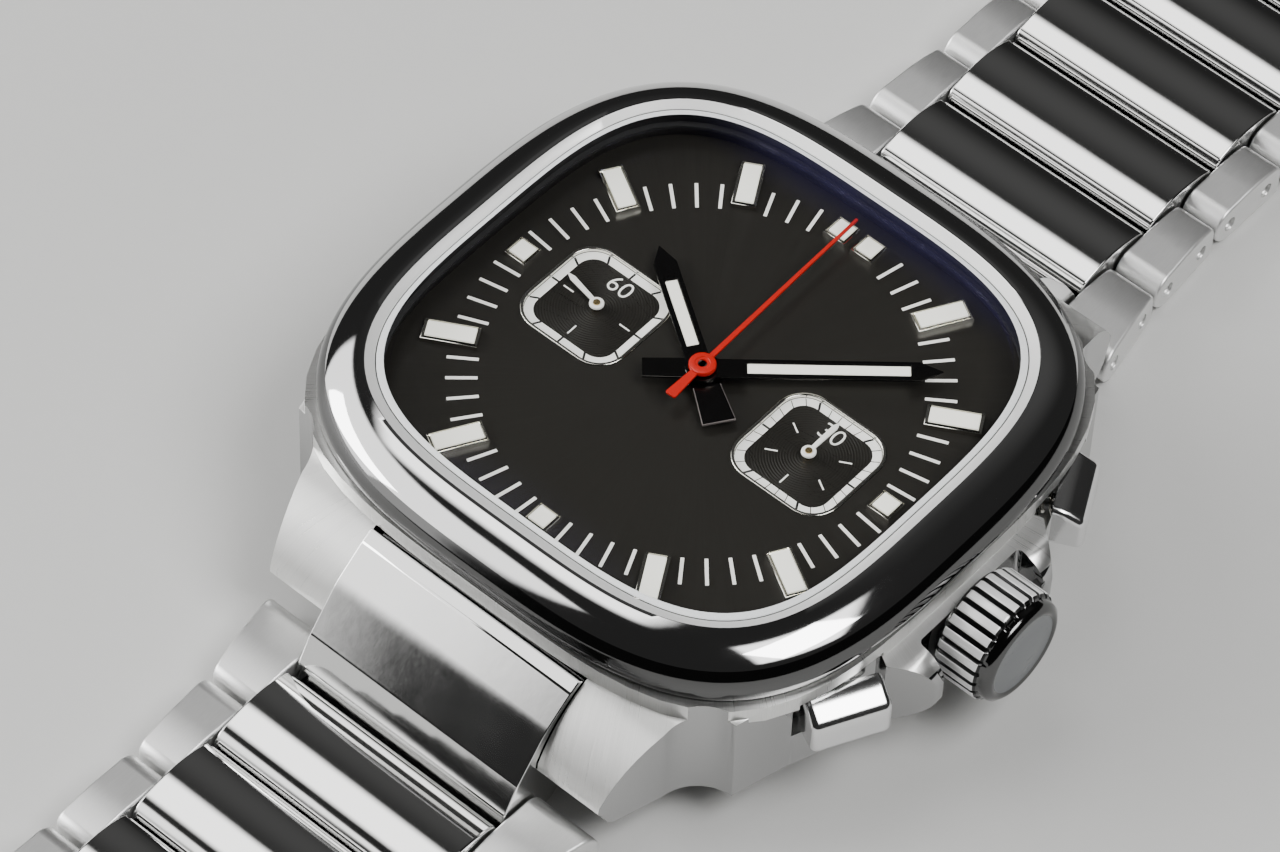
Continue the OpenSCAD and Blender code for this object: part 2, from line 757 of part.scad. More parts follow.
module minute_wheel() {
    color(gilt) translate([0, -minute_wheel_y, 0]) difference() {
        union() {
            wheel(minute_teeth, first_module, 180 / minute_teeth, lower_wheel_z);
            wheel(pinion_teeth, second_module, 0, upper_wheel_z);
            disc(0.8, lower_wheel_z, upper_wheel_z);
        }
        disc(post_r + running, 0, big);
        for (i = [0 : 3]) rotate([0, 0, 90 * i + 45]) translate([2.6, 0, 0]) cylinder(r = 0.95, h = lower_wheel_z + wheel_t + 0.01);
    }
}

module hour_wheel() {
    color(gilt) difference() {
        union() {
            wheel(hour_teeth, second_module, 0, upper_wheel_z);
            disc(hour_pipe_r, upper_wheel_z, hour_z + hand_t);
        }
        disc(cannon_r + running, 0, big);
    }
}

module chrono_arbor() {
    color(polished) {
        disc(chrono_r, boss_low_z + 0.3, chrono_z + hand_t);
        disc(foot_disc_r, boss_low_z + 0.3, bridge_low_z - 0.03);
    }
}

module small_arbor(x) {
    color(gilt) translate([x, 0, 0]) {
        disc(small_arbor_r, plate_low_z + 1, small_top_z);
        disc(0.7, plate_top_z + 0.1, plate_top_z + 0.5);
    }
}

module seconds_arbor() {
    small_arbor(-subdial_x);
}

module counter_arbor() {
    small_arbor(subdial_x);
}

/* Movement */
stem_in_x = 9.4;
bridge_low_z = plate_low_z - bridge_t;
bridge_r = plate_r - 1.6;
bridge_screws = [20, 100, 160, 315];
bridge_screw_r = 10.2;
casing_screws = [70, 190, 310];
casing_screw_r = plate_r - 0.5;
screw_r = 0.35;
head_r = 0.85;
head_t = 0.4;
balance_angle = 225;
balance_clear = 0.35;
balance_staff_r = 0.2;
cock_t = 0.5;
cock_low_z = bridge_low_z - cock_t - 0.05;
cock_foot = balance_r + 0.6;
cock_end = balance_r + 2.9;
rotor_low_z = 1.6;
rotor_plate_z = bridge_low_z - 1.2;
rotor_plate_t = 0.4;
rotor_shank_r = 0.9;
boss_low_z = rotor_plate_z + rotor_plate_t + 0.1;
foot_disc_r = 0.8;

module at_balance() {
    rotate([0, 0, balance_angle]) translate([balance_d, 0, 0]) children();
}

module movement_ring() {
    color(gilt) difference() {
        pipe(cavity_r - running, plate_r + running, spigot_z + 0.02, dial_low_z);
        x_rod(stem_r + 0.3, 0, big, 0, stem_z);
        for (side = [-1, 1]) at_pusher(side) cylinder(r = pusher_stem_r + 0.3, h = big);
        for (a = casing_screws) rotate([0, 0, a]) translate([casing_screw_r, 0, 0]) cylinder(r = head_r + 0.1, h = plate_low_z);
    }
}

module main_plate() {
    color(steel) {
        difference() {
            disc(plate_r, plate_low_z, plate_top_z);
            disc(chrono_r + running, 0, big);
            for (side = [-1, 1]) translate([side * subdial_x, 0, 0]) disc(small_arbor_r + running, 0, big);
            for (p = foot_xy) translate([p[0], p[1], plate_top_z - 0.7]) cylinder(r = foot_r + running, h = 2);
            x_rod(stem_r + running, stem_in_x - 0.5, big, 0, stem_z);
            at_balance() disc(balance_staff_r + running, plate_low_z - 1, plate_low_z + 0.6);
            screw_shanks(fit);
        }
        translate([0, -minute_wheel_y, plate_top_z - 0.1]) cylinder(r = post_r, h = 1.15);
    }
}

module train_bridge() {
    color(steel) difference() {
        union() {
            disc(bridge_r, bridge_low_z, plate_low_z);
            disc(foot_disc_r + 0.5, boss_low_z, bridge_low_z + 0.1);
        }
        disc(chrono_r + running, boss_low_z + 0.25, big);
        disc(foot_disc_r + running, boss_low_z + 0.25, bridge_low_z + 0.02);
        disc(0.4 + fit, 0, boss_low_z + 1);
        at_balance() {
            disc(balance_r + balance_clear, 0, big);
            translate([-1.45, 0, 0]) cube([6, cock_end + 0.15, big]);
        }
        screw_shanks(fit);
        screw_heads(fit);
    }
}

module balance_cock() {
    color(steel) difference() {
        at_balance() {
            translate([-1.1, -1.1, cock_low_z]) cube([2.2, cock_end + 1.1, cock_t]);
            translate([-1.3, cock_foot, cock_low_z]) cube([2.6, cock_end - cock_foot, plate_low_z - cock_low_z]);
        }
        at_balance() disc(balance_staff_r + running, 0, big);
        screw_shanks(fit);
        screw_heads(fit);
    }
}

module balance_wheel() {
    rim_z = bridge_low_z + 0.35;
    color(gilt) at_balance() {
        pipe(balance_r, balance_r - 0.6, rim_z, rim_z + 0.5);
        translate([-balance_r + 0.3, -0.3, rim_z + 0.1]) cube([2 * balance_r - 0.6, 0.6, 0.25]);
        disc(balance_staff_r, cock_low_z + 0.1, plate_low_z + 0.5);
        disc(0.7, rim_z - 0.1, rim_z + 0.5);
    }
}

// The shanks of the movement's screws, grown by a clearance when they cut their own holes
module screw_shanks(more) {
    for (a = bridge_screws) rotate([0, 0, a]) translate([bridge_screw_r, 0, 0])
        disc(screw_r + more, bridge_low_z + head_t - 0.05, plate_low_z + 1.5);
    for (a = casing_screws) rotate([0, 0, a]) translate([casing_screw_r, 0, 0])
        disc(screw_r + more, plate_low_z - 0.05, plate_low_z + 1.5);
    at_balance() translate([0, (cock_foot + cock_end) / 2, 0])
        disc(screw_r + more, cock_low_z + 0.25, plate_low_z + 1.5);
}

module screw_heads(more) {
    for (a = bridge_screws) rotate([0, 0, a]) translate([bridge_screw_r, 0, 0])
        disc(head_r + more, bridge_low_z - more, bridge_low_z + head_t);
    for (a = casing_screws) rotate([0, 0, a]) translate([casing_screw_r, 0, 0])
        disc(head_r + more, plate_low_z - head_t - more, plate_low_z);
    at_balance() translate([0, (cock_foot + cock_end) / 2, 0])
        disc(0.75 + more, cock_low_z - more, cock_low_z + 0.3);
}

module movement_screws() {
    color([0.25, 0.3, 0.5]) {
        screw_shanks(0);
        screw_heads(0);
        disc(1.6, rotor_plate_z - 0.45, rotor_plate_z - 0.05);
        disc(rotor_shank_r, rotor_plate_z - 0.1, boss_low_z);
        disc(0.4, boss_low_z - 0.05, boss_low_z + 0.25);
    }
}

module winding_rotor() {
    color(steel) difference() {
        union() {
            difference() {
                disc(rotor_r, rotor_plate_z, rotor_plate_z + rotor_plate_t);
                translate([-big, 0.9, 0]) cube([2 * big, big, big]);
            }
            difference() {
                pipe(rotor_r, rotor_r - 2.6, rotor_low_z, rotor_plate_z + 0.1);
                translate([-big, 0, 0]) cube([2 * big, big, big]);
            }
            disc(2.4, rotor_plate_z, rotor_plate_z + rotor_plate_t);
        }
        disc(rotor_shank_r + running, 0, big);
        for (a = [215, 270, 325]) rotate([0, 0, a]) translate([6.6, 0, 0]) cylinder(r = 1.9, h = big);
    }
}

/* Crown and stem */
crown_bore_r = tube_outer_r + 0.3;
crown_bore_x = crown_in_x + 1.9;
crown_cap = 0.55;

module winding_stem() {
    color(steel) union() {
        x_rod(stem_r, stem_in_x, crown_bore_x + 1, 0, stem_z);
        x_rod(stem_r + 0.25, cavity_r - 1.9, cavity_r - 1.3, 0, stem_z);
    }
}

module crown() {
    r = crown_d / 2;
    color(polished) difference() {
        translate([0, 0, stem_z]) rotate([0, 90, 0]) rotate_extrude() polygon([
            [0, crown_in_x], [r - 0.5, crown_in_x], [r, crown_in_x + 0.35], [r, crown_out_x - crown_cap - 0.15],
            [r - 0.22, crown_out_x - 0.28], [r - 0.55, crown_out_x - 0.03], [r - 0.8, crown_out_x],
            [r - 0.95, crown_out_x - 0.08], [0, crown_out_x - 0.02]]);
        for (i = [0 : crown_ribs - 1])
            translate([0, 0, stem_z]) rotate([360 * i / crown_ribs, 0, 0])
                translate([crown_in_x - 0.1, 0, r + 0.04]) rotate([0, 90, 0])
                    cylinder(r = rib_depth + 0.04, h = crown_out_x - crown_cap - crown_in_x - 0.25);
        x_rod(crown_bore_r, 0, crown_bore_x, 0, stem_z);
        x_rod(stem_r + fit, 0, crown_bore_x + 1.1, 0, stem_z);
    }
}

module crown_gasket() {
    color(seal) difference() {
        x_rod(crown_bore_r - fit, crown_in_x + 0.1, crown_in_x + 0.7, 0, stem_z);
        x_rod(tube_outer_r + 0.01, 0, big, 0, stem_z);
    }
}

/* Pushers */
pusher_stem_r = 0.55;
spring_seat_r = 0.95;
stem_end_r = plate_r + pusher_travel + 0.15;
spring_wire_r = 0.1;
spring_mid_r = 0.75;
spring_pitch = 0.52;
spring_in_r = pusher_tube_in_r + 0.75;
spring_out_r = pusher_out_r - pusher_depth - 0.12;
spring_turns = max(2, round((spring_out_r - spring_in_r) / spring_pitch));

module pusher(side) {
    inner = pusher_out_r - pusher_depth;
    top = pusher_low_z + pusher_h;
    color(polished) rotate([0, 0, side * pusher_angle]) {
        translate([0, pusher_w / 2, 0]) rotate([90, 0, 0]) linear_extrude(pusher_w) polygon(rounded([
            [inner, pusher_low_z, 0.3], [pusher_out_r, pusher_low_z, 0.25], [pusher_out_r, top, 0.5],
            [pusher_out_r - pusher_slope, top + pusher_rise, 0.9], [inner, top + pusher_rise + 0.05, 0]], 5));
        translate([0, 0, stem_z]) rotate([0, 90, 0]) {
            translate([0, 0, stem_end_r]) cylinder(r = pusher_stem_r, h = inner + 0.5 - stem_end_r);
            translate([0, 0, pusher_tube_in_r - 0.4]) cylinder(r = pusher_stem_r + 0.25, h = 0.35);
        }
    }
}

module pusher_upper() {
    pusher(1);
}

module pusher_lower() {
    pusher(-1);
}

// A helical spring along +Z between two heights, swept with a six sided wire
spring_ring_steps = 10;
spring_sides = 6;
module helix_spring(z0, z1) {
    rings = spring_turns * spring_ring_steps;
    points = [
        for (j = [0 : rings]) for (k = [0 : spring_sides - 1])
            let (a = 360 * j / spring_ring_steps, b = 360 * k / spring_sides,
                 r = spring_mid_r + spring_wire_r * cos(b))
                [r * cos(a), r * sin(a), z0 + (z1 - z0) * j / rings + spring_wire_r * sin(b)]];
    side_faces = [
        for (j = [0 : rings - 1]) for (k = [0 : spring_sides - 1])
            let (a = j * spring_sides + k, b = j * spring_sides + (k + 1) % spring_sides,
                 c = b + spring_sides, d = a + spring_sides)
                each [[a, b, c], [a, c, d]]];
    first_cap = [for (k = [spring_sides - 1 : -1 : 0]) k];
    last_cap = [for (k = [0 : spring_sides - 1]) rings * spring_sides + k];
    polyhedron(points, concat([first_cap], side_faces, [last_cap]));
}

module pusher_spring(side) {
    color(steel) at_pusher(side) helix_spring(spring_in_r, spring_out_r);
}

module pusher_spring_upper() {
    pusher_spring(1);
}

module pusher_spring_lower() {
    pusher_spring(-1);
}

/* End links and spring bars */
hinge_z = outer_t / 2;
knuckle_r = outer_t / 2;
centre_round = 1.95;
end_top_y = 18.45;
end_top_z = 8.95;

module end_link_profile() {
    front_y = first_hinge_y + centre_round - 0.05;
    difference() {
        polygon(rounded([
            [end_top_y, end_top_z, 0.15], [end_top_y + 0.75, end_top_z - 0.45, 1.5],
            [first_hinge_y - 1.6, end_top_z - 2.05, 4], [first_hinge_y + 0.4, outer_t + 1.9, 3],
            [front_y - 0.45, outer_t + 0.1, 0.6], [front_y, hinge_z, 0.8], [front_y - 0.25, 0.3, 0.5],
            [first_hinge_y - 2.3, 0.3, 0.8], [end_top_y + 0.75, 1.6, 1],
            [lug_wall_y + 0.3, case_low_z - 0.2, 0.4], [lug_wall_y + 0.1, end_top_z - 0.75, 0.4]], 5));
        translate([first_hinge_y, hinge_z]) circle(r = pin_r + running);
        translate([spring_bar_y, spring_bar_z]) circle(r = spring_bar_r + running);
    }
}

module end_link() {
    half = lug_gap_half - 0.06;
    color(polished) across(-half, half) end_link_profile();
}

module end_link_12() {
    end_link();
}

module end_link_6() {
    mirror([0, 1, 0]) end_link();
}

module spring_bars() {
    color(steel) for (side = [-1, 1])
        x_rod(spring_bar_r, -spring_bar_reach + 0.1, spring_bar_reach - 0.1, side * spring_bar_y, spring_bar_z);
}

/* Bracelet */
own_pin = 3.45;
outer_in = centre_half + link_gap;
outer_end = link_pitch - knuckle_r - 0.2;
centre_start = centre_round + 0.1;
centre_end = link_pitch + centre_round - 0.05;
centre_arch_r = 7.5;
outer_arch_r = 11;
pin_recess = 0.15;

function outer_half_at(y) =
    y < first_hinge_y - knuckle_r ? outer_half_lug
    : y < first_hinge_y + outer_end
        ? outer_half_lug + (outer_half_second - outer_half_lug) * (y - first_hinge_y + knuckle_r) / (outer_end + knuckle_r)
    : y < first_hinge_y + link_pitch + outer_end
        ? outer_half_second + (outer_half_rest - outer_half_second) * (y - first_hinge_y - outer_end) / link_pitch
    : outer_half_rest;

module pin_holes(holes) {
    for (h = holes) translate([h[0], hinge_z]) circle(r = h[1]);
}

module outer_profile() {
    difference() {
        union() {
            translate([0, hinge_z]) circle(r = knuckle_r);
            intersection() {
                polygon(rounded([[0, 0, 0], [outer_end, 0, 0.3], [outer_end, outer_t + 0.2, 0.7], [0, outer_t + 0.2, 0]], 4));
                translate([outer_end / 2 - 0.3, outer_t + 0.12 - outer_arch_r]) circle(r = outer_arch_r, $fn = 160);
            }
        }
        pin_holes([[0, pin_r + fit], [own_pin, pin_r + fit]]);
    }
}

module centre_profile() {
    difference() {
        intersection() {
            polygon(rounded([[centre_start, 0, 0.4], [centre_end, 0, 1.2], [centre_end, centre_t, 1.65],
                             [centre_start, centre_t, 1.1]], 8));
            translate([(centre_start + centre_end) / 2 - 0.2, centre_t - centre_arch_r]) circle(r = centre_arch_r, $fn = 160);
        }
        pin_holes([[own_pin, pin_r + fit], [link_pitch, pin_r + running]]);
    }
}

// One link: a pair of outer pieces, the centre piece half a step on, and the two pins
module link(i) {
    y0 = first_hinge_y + link_pitch * (i - 1);
    near = outer_half_at(y0 - knuckle_r);
    far = outer_half_at(y0 + outer_end);
    translate([0, y0, 0]) {
        color(steel) for (side = [0, 1]) mirror([side, 0, 0]) intersection() {
            across(outer_in, near + 1) outer_profile();
            translate([0, 0, -1]) linear_extrude(big) polygon([
                [0, -knuckle_r - 1], [near, -knuckle_r - 1], [near, -knuckle_r], [far, outer_end], [far, outer_end + 1],
                [0, outer_end + 1]]);
        }
        color(polished) across(-centre_half, centre_half) centre_profile();
        color(steel) {
            hinge_half = outer_half_at(y0) - pin_recess;
            own_half = outer_half_at(y0 + own_pin) - pin_recess;
            x_rod(pin_r, -hinge_half, hinge_half, 0, hinge_z);
            x_rod(pin_r, -own_half, own_half, own_pin, hinge_z);
        }
    }
}

module link_6(i) {
    mirror([0, 1, 0]) link(i);
}

/* Clasp, drawn along +Y from its hinge and then mirrored to the 6 o'clock side */
clasp_y = first_hinge_y + link_pitch * links_6;
clasp_clear = 0.12;
clasp_pin_r = 0.4;
pivot_z = clasp_h - 1.2;
pivot_u = clasp_len - 1.2;
pivot_knuckle_r = 0.85;
fold_u = 5.6;
fold_z = 1.8;
fold_knuckle_r = 1;
blade_half = clasp_half - clasp_wall - 0.35;
fold_half = blade_half - 1.6;
outer_blade_z = 2.45;
inner_blade_z = 0.3;
tongue_u = clasp_len + 3.2;
tongue_half = 9;

module clasp_at() {
    mirror([0, 1, 0]) translate([0, clasp_y, 0]) children();
}

module both_sides() {
    for (side = [0, 1]) mirror([side, 0, 0]) children();
}

module clasp_cover() {
    wall_in = clasp_half - clasp_wall;
    roof = clasp_h - clasp_wall;
    color(steel) clasp_at() {
        both_sides() across(wall_in, clasp_half) difference() {
            union() {
                translate([0, hinge_z]) circle(r = knuckle_r);
                polygon(rounded([[0, 0, 0], [clasp_len, 0, 0.4], [clasp_len, clasp_h, 1.15], [2.2, clasp_h, 1.6],
                                 [0, outer_t, 0]], 5));
            }
            translate([0, hinge_z]) circle(r = pin_r + fit);
            translate([pivot_u, pivot_z]) circle(r = clasp_pin_r + fit);
        }
        both_sides() across(outer_in, wall_in) difference() {
            translate([0, hinge_z]) circle(r = knuckle_r);
            translate([0, hinge_z]) circle(r = pin_r + fit);
        }
        across(-wall_in, wall_in) polygon(rounded([
            [centre_start + 0.4, roof, 0], [pivot_u - 1.1, roof, 0], [pivot_u - 1.1, clasp_h, 0.3],
            [centre_start + 0.4, clasp_h, 0.8]], 4));
        x_rod(pin_r, -clasp_half + pin_recess, clasp_half - pin_recess, 0, hinge_z);
        x_rod(clasp_pin_r, -clasp_half + pin_recess, clasp_half - pin_recess, pivot_u, pivot_z);
    }
}

// The blade from the cover's pivot back to the fold
module clasp_blade_outer() {
    color(polished) clasp_at() {
        difference() {
            union() {
                translate([-blade_half, fold_u + 1.3, outer_blade_z]) cube([2 * blade_half, pivot_u - fold_u - 1.3, blade_t]);
                x_rod(pivot_knuckle_r, -blade_half, blade_half, pivot_u, pivot_z);
                both_sides() {
                    x_rod(fold_knuckle_r, fold_half + clasp_clear, blade_half, fold_u, fold_z);
                    translate([fold_half + clasp_clear, fold_u, fold_z])
                        cube([blade_half - fold_half - clasp_clear, 2, outer_blade_z + blade_t - fold_z]);
                }
            }
            x_rod(clasp_pin_r + running, -big, big, pivot_u, pivot_z);
            x_rod(clasp_pin_r + fit, -big, big, fold_u, fold_z);
        }
        x_rod(clasp_pin_r, -blade_half + pin_recess, blade_half - pin_recess, fold_u, fold_z);
    }
}

// The blade from the fold to the tongue, where the last 12 o'clock link is pinned
module clasp_blade_inner() {
    color(polished) clasp_at() {
        difference() {
            union() {
                x_rod(fold_knuckle_r, -fold_half, fold_half, fold_u, fold_z);
                translate([-fold_half, fold_u - 0.3, inner_blade_z]) cube([2 * fold_half, 2, blade_t]);
                translate([-blade_half, fold_u + 1.25, inner_blade_z]) cube([2 * blade_half, clasp_len - fold_u, blade_t]);
                translate([-tongue_half, clasp_len + 0.2, inner_blade_z]) cube([2 * tongue_half, 0.9, blade_t]);
                both_sides() across(outer_in, tongue_half) {
                    translate([tongue_u, hinge_z]) circle(r = knuckle_r - 0.05);
                    polygon([[clasp_len + 0.2, inner_blade_z], [tongue_u, 0.2], [tongue_u, outer_t - 0.2],
                             [clasp_len + 1.3, 1.6], [clasp_len + 0.2, inner_blade_z + blade_t]]);
                }
            }
            x_rod(clasp_pin_r + running, -big, big, fold_u, fold_z);
            x_rod(pin_r + fit, -big, big, tongue_u, hinge_z);
        }
        x_rod(pin_r, -tongue_half + pin_recess, tongue_half - pin_recess, tongue_u, hinge_z);
    }
}

case_middle();
case_back();
case_back_gasket();
case_tubes();
bezel();
crystal();
crystal_gasket();
flange_ring();
dial();
hour_markers();
marker_lume();
subdial_rims();
movement_ring();
main_plate();
train_bridge();
movement_screws();
balance_cock();
balance_wheel();
winding_rotor();
minute_wheel();
hour_wheel();
cannon_pinion();
chrono_arbor();
seconds_arbor();
counter_arbor();
hour_hand();
minute_hand();
chrono_seconds_hand();
small_seconds_hand();
minute_counter_hand();
winding_stem();
crown();
crown_gasket();
pusher_upper();
pusher_lower();
pusher_spring_upper();
pusher_spring_lower();
end_link_12();
end_link_6();
spring_bars();
clasp_cover();
clasp_blade_outer();
clasp_blade_inner();
for (i = [1 : 9]) link(i);
for (i = [1 : 8]) link_6(i);
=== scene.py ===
"""Looks of a chronograph watch on a link bracelet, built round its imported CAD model.

Pieces are modelled in millimetres, in the CAD's frame: the case back rests on z = 0,
+X points to 3 o'clock, +Y to 12 o'clock and +Z out of the dial.
"""

import math

import bmesh
import bpy
from bpy.props import FloatProperty, FloatVectorProperty, IntProperty, PointerProperty
from mathutils import Matrix, Vector


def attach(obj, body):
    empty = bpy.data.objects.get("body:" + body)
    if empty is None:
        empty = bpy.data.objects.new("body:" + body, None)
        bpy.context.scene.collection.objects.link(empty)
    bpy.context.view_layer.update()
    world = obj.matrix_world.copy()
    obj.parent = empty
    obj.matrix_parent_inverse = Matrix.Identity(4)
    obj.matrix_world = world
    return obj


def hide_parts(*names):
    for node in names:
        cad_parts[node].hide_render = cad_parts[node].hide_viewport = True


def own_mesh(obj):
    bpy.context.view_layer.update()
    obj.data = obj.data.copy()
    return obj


bl_info = {
    "name": "Chronograph watch",
    "version": (1, 0, 0),
    "blender": (4, 5, 0),
    "location": "3D View > Sidebar > Watch",
    "description": "Builds the looks of a cushion-cased chronograph on a link bracelet",
    "category": "Object",
}

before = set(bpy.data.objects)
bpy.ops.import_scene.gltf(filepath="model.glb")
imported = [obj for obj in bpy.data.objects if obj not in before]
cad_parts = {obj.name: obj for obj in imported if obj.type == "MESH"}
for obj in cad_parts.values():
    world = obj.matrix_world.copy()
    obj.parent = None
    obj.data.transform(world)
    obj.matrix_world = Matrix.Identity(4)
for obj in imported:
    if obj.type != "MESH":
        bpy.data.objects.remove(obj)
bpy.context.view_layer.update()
MM = 0.001

# Levels and sizes shared with the CAD source, in millimetres
DIAL_Z = 11.07
SUBDIAL_X = 7.65
SUBDIAL_HALF = 3.55
SUBDIAL_CORNER = 1.85
SUBDIAL_FLOOR_Z = DIAL_Z - 0.2
MARKER_H = 0.45
# Rings of a marker's frame from outside in, as (width, rise): rim, groove, floor, step, lip and pocket
MARKER_STEPS = ((0.07, 0), (0.012, -0.08), (0.05, 0), (0.012, 0.16), (0.05, 0), (0.01, -0.1))
BATON_R = 14.0
BATON_LENGTH = 3.2
BATON_WIDTH = 1.45
SQUARE_R = 13.1
SQUARE_WIDTH = 1.5
TWELVE_X = 0.98
BATON_HOURS = (1, 2, 4, 5, 7, 8, 10, 11)
SQUARE_HOURS = (3, 6, 9)
HAND_T = 0.16
HOUR_Z = DIAL_Z + 0.53
MINUTE_Z = HOUR_Z + 0.34
CHRONO_Z = MINUTE_Z + 0.34
SMALL_Z = DIAL_Z + 0.15
HOUR_ANGLE = -55.8
MINUTE_ANGLE = 48.8
SMALL_SECONDS_ANGLE = -77.9
CHRONO_ANGLE = -1.6
BEZEL_HALF = 18.77
BEZEL_SHORT = 0.2
BEZEL_LOW_Z = 10.35
BEZEL_WIDE_Z = 11.1
BEZEL_TOP_Z = 13.27
BEZEL_TURN = math.radians(66)
FLANK_STEPS = 7
NECK_HALF = 17.3
NECK_TOP_Z = 11.5
OPENING_HALF = 15.35
OPENING_SHORT = 0.25
CRYSTAL_EDGE_Z = 12.95
CRYSTAL_LOW_Z = 12.1
CRYSTAL_RISE = 1.0
CRYSTAL_T = 0.9
CRYSTAL_SEAT = 0.55
CRYSTAL_BEVEL = 0.98
CRYSTAL_BEVEL_Z = 13.12
FLANGE_TOP_Z = 11.9
STEM_Z = 6.9
PLATEAU_Z = 9.55
CROWN_R = 3.45
CROWN_IN_X = 19.35
CROWN_OUT_X = 23.12
CROWN_RIBS = 26
GROOVE_SHARE = 0.5
PUSHER_ANGLE = 27.4
PUSHER_IN_R = 20.2
PUSHER_OUT_R = 22.1
PUSHER_WIDTH = 4.7
PUSHER_LOW_Z = 6.0
PUSHER_TRAVEL = 0.8
LINK_PITCH = 6.3
FIRST_HINGE_Y = 22.9
LINKS_12 = 9
LINKS_6 = 8
OUTER_T = 2.5
OUTER_IN = 7.65
CENTRE_T = 3.12
CENTRE_HALF = 7.55
OUTER_HALF_LUG = 12.0
OUTER_HALF_SECOND = 10.8
OUTER_HALF_REST = 10.3
PIN_R = 0.45
OWN_PIN = 3.45
PIN_RECESS = 0.15


# Mesh helpers

def loop_edges(verts):
    """The edges whose two ends are both among the given vertices."""
    chosen = set(verts)
    edges = {edge for vert in verts for edge in vert.link_edges}
    return [edge for edge in edges if all(vert in chosen for vert in edge.verts)]


def grow_ring(bm, edges, place, finish):
    """Extrudes a ring of edges and moves each new vertex to place(old position)."""
    made = bmesh.ops.extrude_edge_only(bm, edges=edges)["geom"]
    verts = [item for item in made if isinstance(item, bmesh.types.BMVert)]
    for vert in verts:
        vert.co = place(vert.co)
    fresh = loop_edges(verts)
    for edge in fresh:
        for face in edge.link_faces:
            face.material_index = finish
    return fresh


def start_ring(bm, steps, place, turn=Matrix.Identity(4)):
    """A ring of vertices from the circle operator, each moved to place(position)."""
    verts = bmesh.ops.create_circle(bm, segments=steps, radius=1.0, matrix=turn)["verts"]
    for vert in verts:
        vert.co = place(vert.co)
    return loop_edges(verts)


def on_cushion(half_x, half_y, squareness, z):
    """A rule that puts a point on a cushion outline, at the angle that it already has."""
    def place(co):
        angle = math.atan2(co.y, co.x)
        across = (abs(math.cos(angle)) / half_x) ** squareness
        along = (abs(math.sin(angle)) / half_y) ** squareness
        radius = (across + along) ** (-1 / squareness)
        return Vector((radius * math.cos(angle), radius * math.sin(angle), z))
    return place


def cushion_ring_solid(bm, sections, steps):
    """A closed ring through cushion sections (half x, half y, squareness, z, finish)."""
    edges = start_ring(bm, steps, on_cushion(*sections[0][:4]))
    for section in sections[1:] + sections[:1]:
        edges = grow_ring(bm, edges, on_cushion(*section[:4]), section[4])
    bmesh.ops.remove_doubles(bm, verts=bm.verts, dist=0.0005)


def flat_face(bm, corners, steps=5):
    """A flat face through corners (x, y, radius), rounded by the bevel operator."""
    verts = [bm.verts.new((x, y, 0)) for x, y, _ in corners]
    bm.faces.new(verts)
    count = len(corners)
    places = [Vector(corner[:2]) for corner in corners]
    made = set(verts)
    for i, (vert, corner) in enumerate(zip(verts, corners)):
        if corner[2]:
            before = (places[i - 1] - places[i]).normalized()
            after = (places[(i + 1) % count] - places[i]).normalized()
            half = math.acos(max(-1, min(1, before.dot(after)))) / 2
            result = bmesh.ops.bevel(
                bm, geom=[vert], offset=corner[2] / math.tan(half), offset_type="OFFSET",
                segments=steps, profile=0.5, affect="VERTICES", material=-1)
            made.discard(vert)
            made.update(result["verts"])
    return next(iter(made)).link_faces[0]


def thicken(bm, faces, height):
    """Extrudes flat faces straight up by a height and returns the new upper faces."""
    made = bmesh.ops.extrude_face_region(bm, geom=list(faces))["geom"]
    verts = [item for item in made if isinstance(item, bmesh.types.BMVert)]
    bmesh.ops.translate(bm, verts=verts, vec=(0, 0, height))
    return [item for item in made if isinstance(item, bmesh.types.BMFace)]


def soften(bm, width, segments=2, limit=30, geom=None):
    """Rounds every edge that is sharper than the limit, in degrees."""
    edges = [edge for edge in (geom or bm.edges)
             if len(edge.link_faces) == 2 and edge.calc_face_angle(0) > math.radians(limit)]
    bmesh.ops.bevel(bm, geom=edges, offset=width, offset_type="OFFSET", segments=segments,
                    profile=0.5, affect="EDGES", clamp_overlap=True, material=-1)


def across_bar(corners, x0, x1, steps=6):
    """A bar whose outline in (y, z) is given as rounded corners, run along X."""
    bm = bmesh.new()
    face = flat_face(bm, corners, steps)
    thicken(bm, [face], x1 - x0)
    stand = Matrix(((0, 0, 1, x0), (1, 0, 0, 0), (0, 1, 0, 0), (0, 0, 0, 1)))
    bmesh.ops.transform(bm, matrix=stand, verts=bm.verts)
    bmesh.ops.recalc_face_normals(bm, faces=bm.faces)
    return bm


def turned(points, steps, axis="Z", centre=(0, 0, 0)):
    """A solid of revolution through points (radius, height) along an axis."""
    bm = bmesh.new()
    verts = [bm.verts.new((radius, 0, height)) for radius, height in points]
    edges = [bm.edges.new(pair) for pair in zip(verts, verts[1:])]
    bmesh.ops.spin(bm, geom=verts + edges, cent=(0, 0, 0), axis=(0, 0, 1), dvec=(0, 0, 0),
                   angle=math.tau, steps=steps, use_merge=True)
    bmesh.ops.remove_doubles(bm, verts=bm.verts, dist=0.0005)
    if axis == "X":
        bmesh.ops.rotate(bm, verts=bm.verts, cent=(0, 0, 0), matrix=Matrix.Rotation(math.pi / 2, 3, "Y"))
    bmesh.ops.translate(bm, verts=bm.verts, vec=centre)
    bmesh.ops.recalc_face_normals(bm, faces=bm.faces)
    return bm


def brick(width, length, low, high, round_edge=0.0):
    """A block standing on z = low, centred on the Z axis."""
    bm = bmesh.new()
    size = Matrix.Diagonal((width, length, high - low, 1))
    bmesh.ops.create_cube(bm, size=1.0, matrix=Matrix.Translation((0, 0, (low + high) / 2)) @ size)
    if round_edge:
        soften(bm, round_edge)
    return bm


